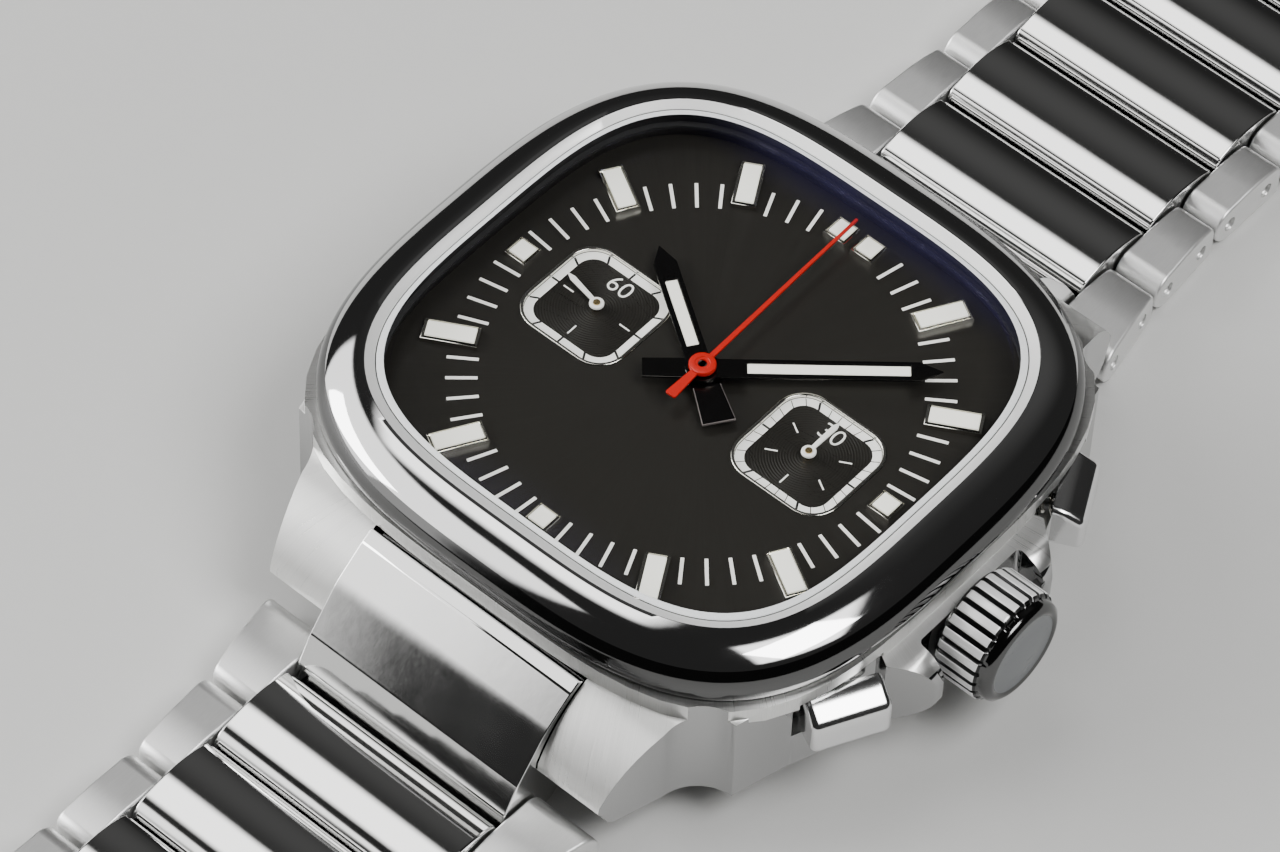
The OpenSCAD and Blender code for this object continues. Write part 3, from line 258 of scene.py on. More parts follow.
def add(bm, part, matrix=Matrix.Identity(4), finish=None):
    """Moves a finished part's mesh into bm and frees it."""
    bmesh.ops.transform(part, matrix=matrix, verts=part.verts)
    if finish is not None:
        for face in part.faces:
            face.material_index = finish
    carrier = bpy.data.meshes.new("carrier")
    part.to_mesh(carrier)
    part.free()
    bm.from_mesh(carrier)
    bpy.data.meshes.remove(carrier)


def turn_z(degrees, x=0.0, y=0.0):
    """A turn about Z after a move to (x, y)."""
    return Matrix.Rotation(math.radians(degrees), 4, "Z") @ Matrix.Translation((x, y, 0))


def carve(bm, cutter):
    """Cuts the closed cutter out of bm with a Boolean and returns the new bmesh."""
    objects = []
    for part in (bm, cutter):
        mesh = bpy.data.meshes.new("carving")
        part.to_mesh(mesh)
        part.free()
        objects.append(bpy.data.objects.new("carving", mesh))
        bpy.context.scene.collection.objects.link(objects[-1])
    body, tool = objects
    modifier = body.modifiers.new("Carve", "BOOLEAN")
    modifier.operation = "DIFFERENCE"
    modifier.solver = "EXACT"
    modifier.object = tool
    result = bmesh.new()
    result.from_object(body, bpy.context.evaluated_depsgraph_get())
    for item in objects:
        mesh = item.data
        bpy.data.objects.remove(item)
        bpy.data.meshes.remove(mesh)
    return result


def softened_node(name, width, segments=2):
    """A merged copy of a CAD node's mesh, in millimetres, with its sharp edges rounded."""
    bm = bmesh.new()
    bm.from_mesh(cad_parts[name].data)
    bmesh.ops.scale(bm, vec=(1 / MM,) * 3, verts=bm.verts)
    bmesh.ops.remove_doubles(bm, verts=bm.verts, dist=0.0002)
    bmesh.ops.dissolve_limit(bm, angle_limit=math.radians(0.6), verts=bm.verts, edges=bm.edges)
    for face in bm.faces:
        face.material_index = 0
    soften(bm, width, segments, 28)
    return bm


def finish_piece(name, bm, body, finishes, replaces=(), sharp=35, weighted=True):
    """Turns a bmesh in millimetres into a piece that rides on a body."""
    bmesh.ops.remove_doubles(bm, verts=bm.verts, dist=0.0003)
    bmesh.ops.recalc_face_normals(bm, faces=bm.faces)
    bmesh.ops.scale(bm, vec=(MM,) * 3, verts=bm.verts)
    mesh = bpy.data.meshes.new(name)
    bm.to_mesh(mesh)
    bm.free()
    for material in finishes:
        mesh.materials.append(material)
    mesh.shade_smooth()
    mesh.set_sharp_from_angle(angle=math.radians(sharp))
    piece = bpy.data.objects.new(name, mesh)
    bpy.context.scene.collection.objects.link(piece)
    if weighted:
        normals = piece.modifiers.new("Weighted normals", "WEIGHTED_NORMAL")
        normals.keep_sharp = True
    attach(piece, body)
    if replaces:
        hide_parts(*replaces)
    return piece


# Shader helpers

class Signal:
    """A socket of a finish. Sums of signals and numbers add Math nodes."""

    def __init__(self, finish, socket):
        self.finish = finish
        self.socket = socket

    def __add__(self, other):
        return self.finish.math("ADD", self, other)

    __radd__ = __add__

    def __sub__(self, other):
        return self.finish.math("SUBTRACT", self, other)

    def __rsub__(self, other):
        return self.finish.math("SUBTRACT", other, self)

    def __mul__(self, other):
        return self.finish.math("MULTIPLY", self, other)

    __rmul__ = __mul__

    def __truediv__(self, other):
        return self.finish.math("DIVIDE", self, other)

    def __rtruediv__(self, other):
        return self.finish.math("DIVIDE", other, self)

    def __pow__(self, other):
        return self.finish.math("POWER", self, other)

    def __gt__(self, other):
        return self.finish.math("GREATER_THAN", self, other)

    def __lt__(self, other):
        return self.finish.math("LESS_THAN", self, other)


class Shading:
    """A node tree under construction, for a material or for the studio's surroundings."""

    def __init__(self, owner):
        owner.use_nodes = True
        self.tree = owner.node_tree
        self.tree.nodes.clear()

    def node(self, kind, settings, inputs):
        """Adds a node, with its settings first and then the values or links of its sockets."""
        made = self.tree.nodes.new(kind)
        for key, value in settings.items():
            if key == "stops":
                ramp = made.color_ramp.elements
                while len(ramp) < len(value):
                    ramp.new(1.0)
                for element, (position, color) in zip(ramp, value):
                    element.position = position
                    element.color = (*color, 1.0)
            else:
                setattr(made, key, value)
        for key, value in inputs.items():
            self.feed(made.inputs[key], value)
        return made

    def feed(self, socket, value):
        """Links a signal or socket, or sets a plain value."""
        if isinstance(value, Signal):
            value = value.socket
        if isinstance(value, bpy.types.NodeSocket):
            self.tree.links.new(value, socket)
        else:
            socket.default_value = value

    def math(self, operation, *values):
        made = self.node("ShaderNodeMath", {"operation": operation}, dict(enumerate(values)))
        return Signal(self, made.outputs[0])

    def ease(self, value, start, end):
        """Eases from 0 to 1 while a value goes from start to end, which may be the lower one."""
        settings = {"interpolation_type": "SMOOTHSTEP"}
        made = self.node("ShaderNodeMapRange", settings, {0: value, 1: start, 2: end})
        return Signal(self, made.outputs[0])

    def dot(self, vector, direction):
        """How far a vector socket reaches along a fixed direction."""
        settings = {"operation": "DOT_PRODUCT"}
        made = self.node("ShaderNodeVectorMath", settings, {0: vector, 1: tuple(direction)})
        return Signal(self, made.outputs["Value"])


class Finish(Shading):
    """A material under construction: one Principled surface and what drives it."""

    def __init__(self, name, color, roughness, metallic=0.0, **constants):
        self.material = bpy.data.materials.new(name)
        super().__init__(self.material)
        self.color = (*color, 1.0)
        self.surface = self.node("ShaderNodeBsdfPrincipled", {}, {
            "Base Color": self.color, "Roughness": roughness, "Metallic": metallic, **constants})
        self.output = self.node("ShaderNodeOutputMaterial", {}, {"Surface": self.surface.outputs["BSDF"]})

    def drive(self, name, value):
        """Feeds one socket of the surface."""
        self.feed(self.surface.inputs[name], value)

    def place(self):
        """Object coordinates in millimetres, as three signals."""
        coords = self.node("ShaderNodeTexCoord", {}, {})
        scaled = self.node("ShaderNodeVectorMath", {"operation": "SCALE"},
                           {0: coords.outputs["Object"], "Scale": 1 / MM})
        parts = self.node("ShaderNodeSeparateXYZ", {}, {0: scaled.outputs[0]})
        return [Signal(self, output) for output in parts.outputs]

    def vector(self, x, y, z):
        return self.node("ShaderNodeCombineXYZ", {}, {0: x, 1: y, 2: z}).outputs[0]

    def noise(self, x, y, z, detail=2.0, roughness=0.5):
        """Noise from 0 to 1 at a place given as three signals."""
        made = self.node("ShaderNodeTexNoise", {}, {
            "Vector": self.vector(x, y, z), "Scale": 1.0, "Detail": detail, "Roughness": roughness})
        return Signal(self, made.outputs[0])

    def mix(self, factor, first, second):
        """A colour between two colours or colour sockets."""
        made = self.node("ShaderNodeMix", {"data_type": "RGBA"}, {0: factor, 6: first, 7: second})
        return made.outputs[2]

    def shade(self, factor, low, high):
        """The surface's own colour, darkened or lightened between two amounts by a signal."""
        tones = [tuple(min(1.0, channel * amount) for channel in self.color[:3]) + (1.0,)
                 for amount in (low, high)]
        self.drive("Base Color", self.mix(factor, *tones))

    def bump(self, height, depth_mm):
        """A bump whose full height is the given depth."""
        made = self.node("ShaderNodeBump", {}, {
            "Strength": 1.0, "Distance": depth_mm * MM, "Height": height})
        self.drive("Normal", made.outputs[0])


def polished(name, color=(0.74, 0.74, 0.735), roughness=0.045, metallic=1.0):
    """Mirror-polished steel with faint wiping marks and a slight waviness."""
    finish = Finish(name, color, roughness, metallic)
    x, y, z = finish.place()
    smear = finish.noise(x * 0.35, y * 0.35, z * 0.35, 3.0)
    marks = finish.noise(x * 9.0, y * 1.2 + x * 2.0, z * 5.0, 2.0)
    finish.drive("Roughness", roughness + (smear * 0.05 + marks * 0.03) - 0.03)
    finish.bump(smear * 0.7 + marks * 0.02, 0.004)
    return finish.material


def brushed_steel(name, across, color=(0.8, 0.8, 0.785), roughness=0.3, depth=0.003):
    """Steel brushed along lines; across(x, y, z) gives a place that varies only across them."""
    finish = Finish(name, color, roughness, 1.0)
    x, y, z = finish.place()
    grain = finish.noise(*across(finish, x, y, z), 3.0, 0.65)
    cloud = finish.noise(x * 0.5, y * 0.5, z * 0.5, 2.0)
    finish.drive("Roughness", roughness + (grain - 0.5) * 0.14 + (cloud - 0.5) * 0.06)
    finish.shade(grain, 0.86, 1.12)
    finish.bump(grain, depth)
    return finish.material


def radial_lines(finish, x, y, z):
    """Lines that run out from the middle of the dial."""
    radius = finish.math("SQRT", x * x + y * y) + 0.001
    return x / radius * 420.0, y / radius * 420.0, radius * 0.25 + z * 0.5


def long_lines(finish, x, y, z):
    """Lines along the bracelet."""
    return x * 16.0, y * 0.55, z * 16.0


def ring_lines(finish, x, y, z):
    """Circles round the middle of the case back."""
    radius = finish.math("SQRT", x * x + y * y)
    return radius * 16.0, z * 2.0, x * 0.02


def satin_steel(name):
    """Fine satin steel of the outer links, brushed along the bracelet."""
    finish = Finish(name, (0.84, 0.84, 0.835), 0.42, 1.0)
    x, y, z = finish.place()
    grain = finish.noise(x * 13.0, y * 1.1, z * 13.0, 3.0, 0.6)
    speck = finish.noise(x * 24.0, y * 24.0, z * 24.0, 1.0)
    finish.drive("Roughness", 0.42 + (grain - 0.5) * 0.12)
    finish.shade(grain * 0.6 + speck * 0.4, 0.88, 1.1)
    finish.bump(grain * 0.6 + speck * 0.4, 0.004)
    return finish.material


def dial_lacquer():
    """Charcoal dial with a fine sunray grain, and grooved floors in the small dials."""
    finish = Finish("dial_black", (0.021, 0.0195, 0.0165), 0.38, 0.35,
                    **{"Specular IOR Level": 0.5})
    x, y, z = finish.place()
    radius = finish.math("SQRT", x * x + y * y) + 0.001
    rays = finish.noise(x / radius * 110.0, y / radius * 110.0, radius * 0.05, 3.0, 0.7)
    speck = finish.noise(x * 18.0, y * 18.0, z * 18.0, 1.0)
    from_hub = finish.math("SQRT", (finish.math("ABSOLUTE", x) - SUBDIAL_X) ** 2.0 + y * y)
    grooves = finish.math("SINE", from_hub * (math.tau / 0.16)) * 0.5 + 0.5
    floor = z < DIAL_Z - 0.1
    finish.drive("Roughness", 0.36 + (rays - 0.5) * 0.16 + (speck - 0.5) * 0.05 - floor * 0.06)
    finish.shade(rays * 0.7 + speck * 0.3, 0.75, 1.3)
    finish.bump(grooves * floor + (rays * 0.2 + speck * 0.1) * (1 - floor), 0.012)
    return finish.material


def paint(name, color, roughness=0.45, depth=0.003, glow=0.0):
    """Printed or sprayed paint with a slight grain; glow is painted light, an emission that makes up for the
    room's dimness.
    """
    finish = Finish(name, color, roughness, 0.0,
                    **{"Emission Color": (*color, 1.0), "Emission Strength": glow})
    x, y, z = finish.place()
    speck = finish.noise(x * 14.0, y * 14.0, z * 14.0, 2.0)
    finish.drive("Roughness", roughness + (speck - 0.5) * 0.15)
    finish.shade(speck, 0.9, 1.08)
    finish.bump(speck, depth)
    return finish.material


def luminous():
    """Cream luminous paste with fine grains in it, and a painted glow from its emission."""
    finish = Finish("lume", (0.95, 0.95, 0.87), 0.62, 0.0,
                    **{"Emission Color": (0.95, 0.95, 0.86, 1.0), "Emission Strength": 0.6})
    x, y, z = finish.place()
    grains = finish.noise(x * 11.0, y * 11.0, z * 11.0, 3.0, 0.7)
    cloud = finish.noise(x * 1.4, y * 1.4, z * 1.4, 1.0)
    finish.shade(grains * 0.5 + cloud * 0.5, 0.88, 1.08)
    finish.bump(grains, 0.008)
    return finish.material


def sapphire():
    """Clear crystal that mirrors its surroundings with a faint violet tint, plus a painted violet reflection
    near its far rim.
    """
    finish = Finish("crystal_glass", (0.9, 0.92, 1.0), 0.02)
    x, y, z = finish.place()
    smear = finish.noise(x * 0.6, y * 0.6, z * 0.6, 2.0)
    clear = finish.node("ShaderNodeBsdfTransparent", {}, {"Color": (0.985, 0.985, 0.98, 1.0)})
    shine = finish.node("ShaderNodeBsdfGlossy", {}, {"Color": (0.62, 0.6, 1.0, 1.0), "Roughness": 0.02})
    fresnel = finish.node("ShaderNodeFresnel", {}, {"IOR": 1.42})
    back = finish.node("ShaderNodeNewGeometry", {}, {})
    front = 1 - Signal(finish, back.outputs["Backfacing"])
    factor = Signal(finish, fresnel.outputs[0]) * front * (0.3 + smear * 0.2)
    mixed = finish.node("ShaderNodeMixShader", {}, {0: factor, 1: clear.outputs[0], 2: shine.outputs[0]})
    # Painted reflection: a violet diffuse layer near the far rim stands for the coating's violet reflection
    # there
    violet = finish.node("ShaderNodeBsdfDiffuse", {}, {"Color": (0.045, 0.04, 0.12, 1.0)})
    painted_violet_reflection = finish.ease(y, 11.0, 15.0) * finish.ease(x, -13.0, -4.0) * front * (0.1 + smear * 0.25)
    with_painted_reflection = finish.node("ShaderNodeMixShader", {}, {0: painted_violet_reflection, 1: mixed.outputs[0], 2: violet.outputs[0]})
    finish.feed(finish.output.inputs["Surface"], with_painted_reflection.outputs[0])
    finish.tree.nodes.remove(finish.surface)
    return finish.material


def rubber():
    """Black seal rubber with a dull mottled skin."""
    finish = Finish("gasket", (0.018, 0.018, 0.019), 0.6)
    x, y, z = finish.place()
    speck = finish.noise(x * 6.0, y * 6.0, z * 6.0, 3.0)
    finish.drive("Roughness", 0.5 + speck * 0.25)
    finish.shade(speck, 0.7, 1.4)
    finish.bump(speck, 0.01)
    return finish.material


def plated(name, color, roughness=0.24, pearl=0.0):
    """Plated movement metal with straight grain, or with overlapping round grain."""
    finish = Finish(name, color, roughness, 1.0)
    x, y, z = finish.place()
    grain = finish.noise(x * 12.0, y * 0.8, z * 8.0, 3.0, 0.6)
    height = grain * (1 - pearl)
    if pearl:
        cell_x = finish.math("WRAP", x, 0.6, -0.6)
        cell_y = finish.math("WRAP", y, 0.6, -0.6)
        spot = finish.math("SQRT", cell_x * cell_x + cell_y * cell_y)
        height = height + finish.math("SINE", spot * 40.0) * 0.5 * pearl
    finish.drive("Roughness", roughness + (grain - 0.5) * 0.12)
    finish.shade(grain, 0.85, 1.12)
    finish.bump(height, 0.008)
    return finish.material


def studio_floor(color):
    """Plain pale matt floor with a barely visible grain."""
    finish = Finish("studio_floor", color, 0.55)
    x, y, z = finish.place()
    speck = finish.noise(x * 0.8, y * 0.8, z, 3.0)
    cloud = finish.noise(x * 0.01, y * 0.01, z, 2.0)
    finish.drive("Roughness", 0.5 + speck * 0.12)
    finish.shade(speck * 0.4 + cloud * 0.6, 0.97, 1.02)
    finish.bump(speck, 0.02)
    return finish.material


FINISHES = {}


def finishes():
    """Every finish by its name, made once."""
    if not FINISHES:
        FINISHES.update({
            "case_brushed": brushed_steel("case_brushed", radial_lines),
            # Polished case walls darkened to 0.42: a painted dark reflection, not the steel's own colour
            "case_polished_painted_dark_reflection": polished("case_polished_painted_dark_reflection", (0.42, 0.42, 0.42)),
            "back_steel": brushed_steel("back_steel", ring_lines, roughness=0.2),
            "bezel_steel": polished("bezel_steel", (0.68, 0.68, 0.68), 0.04),
            # Nearly black polished steel on the bezel's lower slope: a painted dark reflection
            "bezel_flank_painted_dark_reflection": polished("bezel_flank_painted_dark_reflection", (0.12, 0.12, 0.12), 0.06),
            # Pale steel with a large diffuse share: partly satin steel, partly a painted highlight that keeps
            # the chamfer bright all round
            "bezel_chamfer_painted_highlight": polished("bezel_chamfer_painted_highlight", (0.95, 0.95, 0.94), 0.34, 0.4),
            "polished_steel": polished("polished_steel"),
            # White with a diffuse share: satin crest steel plus a painted highlight that keeps the ribs
            # evenly bright
            "crown_steel": polished("crown_steel", (1.0, 1.0, 1.0), 0.32, 0.3),
            # Nearly black steel in the crown's grooves: painted shade
            "crown_groove_painted_shade": polished("crown_groove_painted_shade", (0.05, 0.05, 0.05), 0.3),
            # Dark polished rim chamfer on the crown: a painted dark reflection
            "crown_rim_painted_dark_reflection": polished("crown_rim_painted_dark_reflection", (0.11, 0.11, 0.11), 0.08),
            "crown_cap": brushed_steel("crown_cap", long_lines, (0.24, 0.25, 0.26), 0.3, 0.003),
            "pusher_steel": polished("pusher_steel", (0.8, 0.8, 0.8), 0.14),
            "link_steel": satin_steel("link_steel"),
            "link_polished": polished("link_polished", roughness=0.05),
            "clasp_steel": brushed_steel("clasp_steel", long_lines),
            "blade_steel": polished("blade_steel", roughness=0.09),
            "arbor_steel": polished("arbor_steel", (0.62, 0.6, 0.56), 0.12),
            "gasket": rubber(),
            "crystal_glass": sapphire(),
            # Pale opaque paint on the crystal's bevelled edge: a painted highlight
            "crystal_bevel_painted_highlight": paint("crystal_bevel_painted_highlight", (0.9, 0.92, 0.93), 0.25),
            "flange_black": paint("flange_black", (0.012, 0.012, 0.011), 0.4, 0.004),
            "dial_black": dial_lacquer(),
            # White print with an emission glow: painted light
            "print_white_painted_glow": paint("print_white_painted_glow", (0.93, 0.93, 0.9), glow=0.35),
            "print_black": paint("print_black", (0.01, 0.01, 0.01)),
            "marker_metal": polished("marker_metal", (0.78, 0.77, 0.72), 0.06),
            # Lume with an emission glow: painted light
            "lume": luminous(),
            "movement_brass": plated("movement_brass", (0.76, 0.58, 0.28)),
            "movement_plate": plated("movement_plate", (0.66, 0.65, 0.62), 0.26, 0.7),
            "blued_screw": polished("blued_screw", (0.07, 0.1, 0.3), 0.12),
            "hand_black": polished("hand_black", (0.06, 0.058, 0.055), 0.16),
            "hand_tail": paint("hand_tail", (0.17, 0.15, 0.148), 0.22),
            "hand_red": paint("hand_red", (0.55, 0.01, 0.004), 0.32),
            # White hand paint with an emission glow: painted light
            "hand_white": paint("hand_white", (0.93, 0.93, 0.9), 0.35, glow=0.25),
        })
    return FINISHES


# What a user would change

class WatchDialSettings(bpy.types.PropertyGroup):
    """Sizes of what is printed on the dial."""

    stroke_width: FloatProperty(
        name="Minute stroke width", description="Width of a printed minute stroke",
        default=0.2 * MM, min=0.05 * MM, max=0.4 * MM, precision=5, unit="LENGTH")
    stroke_inner: FloatProperty(
        name="Stroke inner radius", description="Radius where the minute strokes begin",
        default=12.23 * MM, min=11 * MM, max=13 * MM, precision=5, unit="LENGTH")
    stroke_outer: FloatProperty(
        name="Stroke outer radius", description="Radius where the minute strokes end",
        default=14.0 * MM, min=13.2 * MM, max=15 * MM, precision=5, unit="LENGTH")
    numeral_height: FloatProperty(
        name="Numeral size", description="Font size of the numerals in the small dials",
        default=1.6 * MM, min=1 * MM, max=2.5 * MM, precision=5, unit="LENGTH")
    track_width: FloatProperty(
        name="Track width", description="Width of the white track in a small dial",
        default=0.52 * MM, min=0.2 * MM, max=0.8 * MM, precision=5, unit="LENGTH")


class WatchCaseSettings(bpy.types.PropertyGroup):
    """Edge finish and smoothness of the case, bezel and crown."""

    edge_round: FloatProperty(
        name="Edge rounding", description="Width of the polished break on the case's edges",
        default=0.06 * MM, min=0.02 * MM, max=0.2 * MM, precision=5, unit="LENGTH")
    outline_steps: IntProperty(
        name="Outline steps", description="Points round each cushion outline",
        default=224, min=64, max=400)
    rib_depth: FloatProperty(
        name="Crown rib depth", description="Depth of the grooves between the crown's ribs",
        default=0.26 * MM, min=0.1 * MM, max=0.3 * MM, precision=5, unit="LENGTH")


class WatchBraceletSettings(bpy.types.PropertyGroup):
    """Edge finish of the links."""

    outer_round: FloatProperty(
        name="Outer link rounding", description="Edge rounding of the satin outer links",
        default=0.2 * MM, min=0.02 * MM, max=0.4 * MM, precision=5, unit="LENGTH")
    centre_round: FloatProperty(
        name="Centre link rounding", description="Edge rounding of the polished centre links",
        default=0.14 * MM, min=0.02 * MM, max=0.4 * MM, precision=5, unit="LENGTH")


class WatchStageSettings(bpy.types.PropertyGroup):
    """Studio floor, lights and camera."""

    floor_color: FloatVectorProperty(
        name="Floor colour", description="Colour of the plain studio floor",
        default=(0.62, 0.62, 0.61), min=0, max=1, subtype="COLOR")
    world_level: FloatProperty(
        name="Room light", description="Brightness of the dim room round the lights",
        default=0.025, min=0, max=2)
    light_level: FloatProperty(
        name="Light level", description="Factor on the power of every light",
        default=1.0, min=0, max=10)
    lens: FloatProperty(
        name="Lens", description="Focal length of the camera",
        default=173.7 * MM, min=0.02, max=0.4, precision=5, subtype="DISTANCE_CAMERA")


# Case, bezel and crystal

def bezel_sections():
    """Cushion sections of the bezel, from its seat round the outside to its opening."""
    # Finishes by index: 1 the chamfer, pale steel with a painted highlight; 2 black rubber on the opening's
    # wall, painted shade; 3 the flank, a painted dark reflection
    polished_face, chamfer, wall, flank = 0, 1, 2, 3
    sections = [(BEZEL_HALF - NECK_HALF - 0.1, 3.3, BEZEL_LOW_Z, polished_face),
                (0.36, 3.3, BEZEL_LOW_Z, flank),
                (0.3, 3.3, BEZEL_LOW_Z + 0.04, flank),
                (0.1, 3.16, BEZEL_LOW_Z + 0.3, flank),
                (0.02, 3.08, BEZEL_LOW_Z + 0.52, flank)]
    inset = BEZEL_HALF - OPENING_HALF - 0.6 - 0.06
    steps = 16
    for i in range(steps + 1):
        turn = BEZEL_TURN * i / steps
        inward = (1 - math.cos(turn)) / (1 - math.cos(BEZEL_TURN))
        upward = math.sin(turn) / math.sin(BEZEL_TURN)
        height = BEZEL_WIDE_Z + (BEZEL_TOP_Z - BEZEL_WIDE_Z) * upward
        # The lower steps of the slope take the flank's painted dark reflection
        finish = flank if i <= FLANK_STEPS else polished_face
        sections.append((inset * inward, 3.06 + 0.42 * inward, height, finish))
    sections.append((inset + 0.06, 3.5, BEZEL_TOP_Z - 0.02, polished_face))
    rows = [(BEZEL_HALF - a, BEZEL_HALF - BEZEL_SHORT - a, n, z, finish) for a, n, z, finish in sections]
    opening_y = OPENING_HALF - OPENING_SHORT
    return rows + [
        (OPENING_HALF + 0.03, opening_y + 0.03, 3.65, CRYSTAL_EDGE_Z + 0.1, chamfer),
        (OPENING_HALF, opening_y, 3.66, CRYSTAL_EDGE_Z + 0.06, chamfer),
        # Black rubber on the opening's wall: painted shade in the gap under the crystal
        (OPENING_HALF, opening_y, 3.66, NECK_TOP_Z + 0.02, wall),
        (NECK_HALF + 0.1, NECK_HALF + 0.1 - BEZEL_SHORT, 3.3, NECK_TOP_Z + 0.02, polished_face)]


def make_bezel(steps):
    bm = bmesh.new()
    cushion_ring_solid(bm, bezel_sections(), steps)
    paints = finishes()
    finish_piece("bezel_polished", bm, "case",
                 [paints[name] for name in ("bezel_steel", "bezel_chamfer_painted_highlight", "gasket", "bezel_flank_painted_dark_reflection")],
                 ["bezel"], weighted=False)


def crystal_outline(share, z):
    """The crystal's outline shrunk to a share of its width, rounder towards the middle."""
    half = (OPENING_HALF - 0.05) * share
    return on_cushion(half, half - OPENING_SHORT * share, 2 + 1.66 * share ** 2, z)


def make_crystal(steps):
    """The domed crystal: an outer face, a side wall and a parallel inner face."""
    top = CRYSTAL_EDGE_Z + CRYSTAL_RISE
    radius = (OPENING_HALF * CRYSTAL_BEVEL) ** 2 / (2 * (top - CRYSTAL_BEVEL_Z))

    def dome(share, drop, bend):
        return top - drop - (OPENING_HALF * share) ** 2 / (2 * bend)

    shares = [0.97, 0.94, 0.88, 0.78, 0.66, 0.52, 0.38, 0.24, 0.12, 0.04]
    bm = bmesh.new()
    rim = start_ring(bm, steps, crystal_outline(1.0, CRYSTAL_BEVEL_Z - 0.1))
    edges = rim
    # The bevel rings take finish 1: a painted highlight on the crystal's edge
    for share, drop in ((0.998, 0.05), (0.99, 0.01), (CRYSTAL_BEVEL, 0)):
        edges = grow_ring(bm, edges, crystal_outline(share, CRYSTAL_BEVEL_Z - drop), 1)
    for share in shares:
        edges = grow_ring(bm, edges, crystal_outline(share, dome(share, 0, radius)), 0)
    bmesh.ops.edgeloop_fill(bm, edges=edges)
    edges = grow_ring(bm, rim, crystal_outline(1.0, CRYSTAL_LOW_Z + 0.02), 0)
    inner = 1 - CRYSTAL_SEAT / OPENING_HALF
    edges = grow_ring(bm, edges, crystal_outline(inner, CRYSTAL_LOW_Z + 0.02), 0)
    for share in (inner, *shares[3:]):
        edges = grow_ring(bm, edges, crystal_outline(share, dome(share, CRYSTAL_T, 2 * radius)), 0)
    bmesh.ops.edgeloop_fill(bm, edges=edges)
    finish_piece("crystal_dome", bm, "case", [finishes()["crystal_glass"], finishes()["crystal_bevel_painted_highlight"]],
                 ["crystal"], weighted=False)


def make_flange(steps):
    """The dark ring between the dial and the crystal."""
    outer, lip = NECK_HALF - 1.45, OPENING_HALF - 0.05
    rows = [(outer, outer - BEZEL_SHORT, 3.5, z, 0) for z in (DIAL_Z + 0.01, NECK_TOP_Z)]
    for inset, z in ((0, NECK_TOP_Z), (0, FLANGE_TOP_Z), (0.2, FLANGE_TOP_Z), (0.25, FLANGE_TOP_Z - 0.05),
                     (0.12, DIAL_Z + 0.04), (0.1, DIAL_Z + 0.01)):
        rows.append((lip - inset, lip - OPENING_SHORT - inset, 3.66, z, 0))
    bm = bmesh.new()
    cushion_ring_solid(bm, rows, steps)
    finish_piece("flange_sloped", bm, "case", [finishes()["flange_black"]],
                 ["flange_ring"], weighted=False)


def make_case(width):
    """The case with softened edges: brushed where it faces up, polished on its walls, whose darkened steel is
    a painted dark reflection.
    """
    bm = softened_node("case_middle", width)
    bm.normal_update()
    for face in bm.faces:
        middle = face.calc_center_median()
        on_lug = abs(middle.y) > 16.5 and abs(middle.x) > 7.6
        on_guard = middle.x > 16.5 and abs(middle.y) < 12
        faces_up = face.normal.z > (0.35 if on_lug else 0.6 if on_guard else 0.9)
        on_tip = on_lug and abs(face.normal.y) > 0.6 and middle.z > 3.5
        on_step = middle.z > PLATEAU_Z - 0.1 and math.hypot(middle.x, middle.y) < 24
        # Finish 1, the darkened polished steel on the walls, is a painted dark reflection
        face.material_index = 0 if faces_up or on_tip or on_step else 1
    paints = finishes()
    finish_piece("case_softened", bm, "case", [paints["case_brushed"], paints["case_polished_painted_dark_reflection"]],
                 ["case_middle"])


# Dial, markers and hands

def corner_reach(half, corner, angle):
    """How far a rounded square reaches from its middle at an angle in radians."""
    x, y = abs(math.cos(angle)), abs(math.sin(angle))
    reach = half / max(x, y)
    straight = half - corner
    if min(x, y) * reach > straight:
        along = (x + y) * straight
        reach = along + math.sqrt(along ** 2 - 2 * straight ** 2 + corner ** 2)
    return reach


def rounded_square(bm, half, corner, steps=10):
    """The edges of a rounded square outline."""
    face = flat_face(bm, [(-half, -half, corner), (half, -half, corner),
                          (half, half, corner), (-half, half, corner)], steps)
    edges = list(face.edges)
    bmesh.ops.delete(bm, geom=[face], context="FACES_ONLY")
    return edges


def square_ring(outer, outer_corner, inner, inner_corner, low, high):
    """A flat ring between two rounded squares."""
    bm = bmesh.new()
    edges = rounded_square(bm, outer, outer_corner) + rounded_square(bm, inner, inner_corner)
    bmesh.ops.bridge_loops(bm, edges=edges)
    thicken(bm, bm.faces[:], high - low)
    bmesh.ops.translate(bm, verts=bm.verts, vec=(0, 0, low))
    bmesh.ops.recalc_face_normals(bm, faces=bm.faces)
    return bm


def each_marker():
    """Where every applied marker stands: its matrix, width and length."""
    for hour in BATON_HOURS:
        yield turn_z(-30 * hour, 0, BATON_R), BATON_WIDTH, BATON_LENGTH
    for hour in SQUARE_HOURS:
        yield turn_z(-30 * hour, 0, SQUARE_R), SQUARE_WIDTH, SQUARE_WIDTH
    for side in (-1, 1):
        yield turn_z(0, side * TWELVE_X, SQUARE_R), SQUARE_WIDTH, SQUARE_WIDTH


def marker_tray(width, length):
    """A polished two-step frame with a dark groove round the place of its lume."""
    bm = brick(width, length, DIAL_Z - 0.005, DIAL_Z + MARKER_H - 0.1)
    top = max(bm.faces, key=lambda face: face.calc_center_median().z)
    rim = list(top.edges)
    for thickness, depth in MARKER_STEPS:
        bmesh.ops.inset_individual(bm, faces=[top], thickness=thickness, depth=depth)
    soften(bm, 0.035, 2, 30, rim)
    return bm


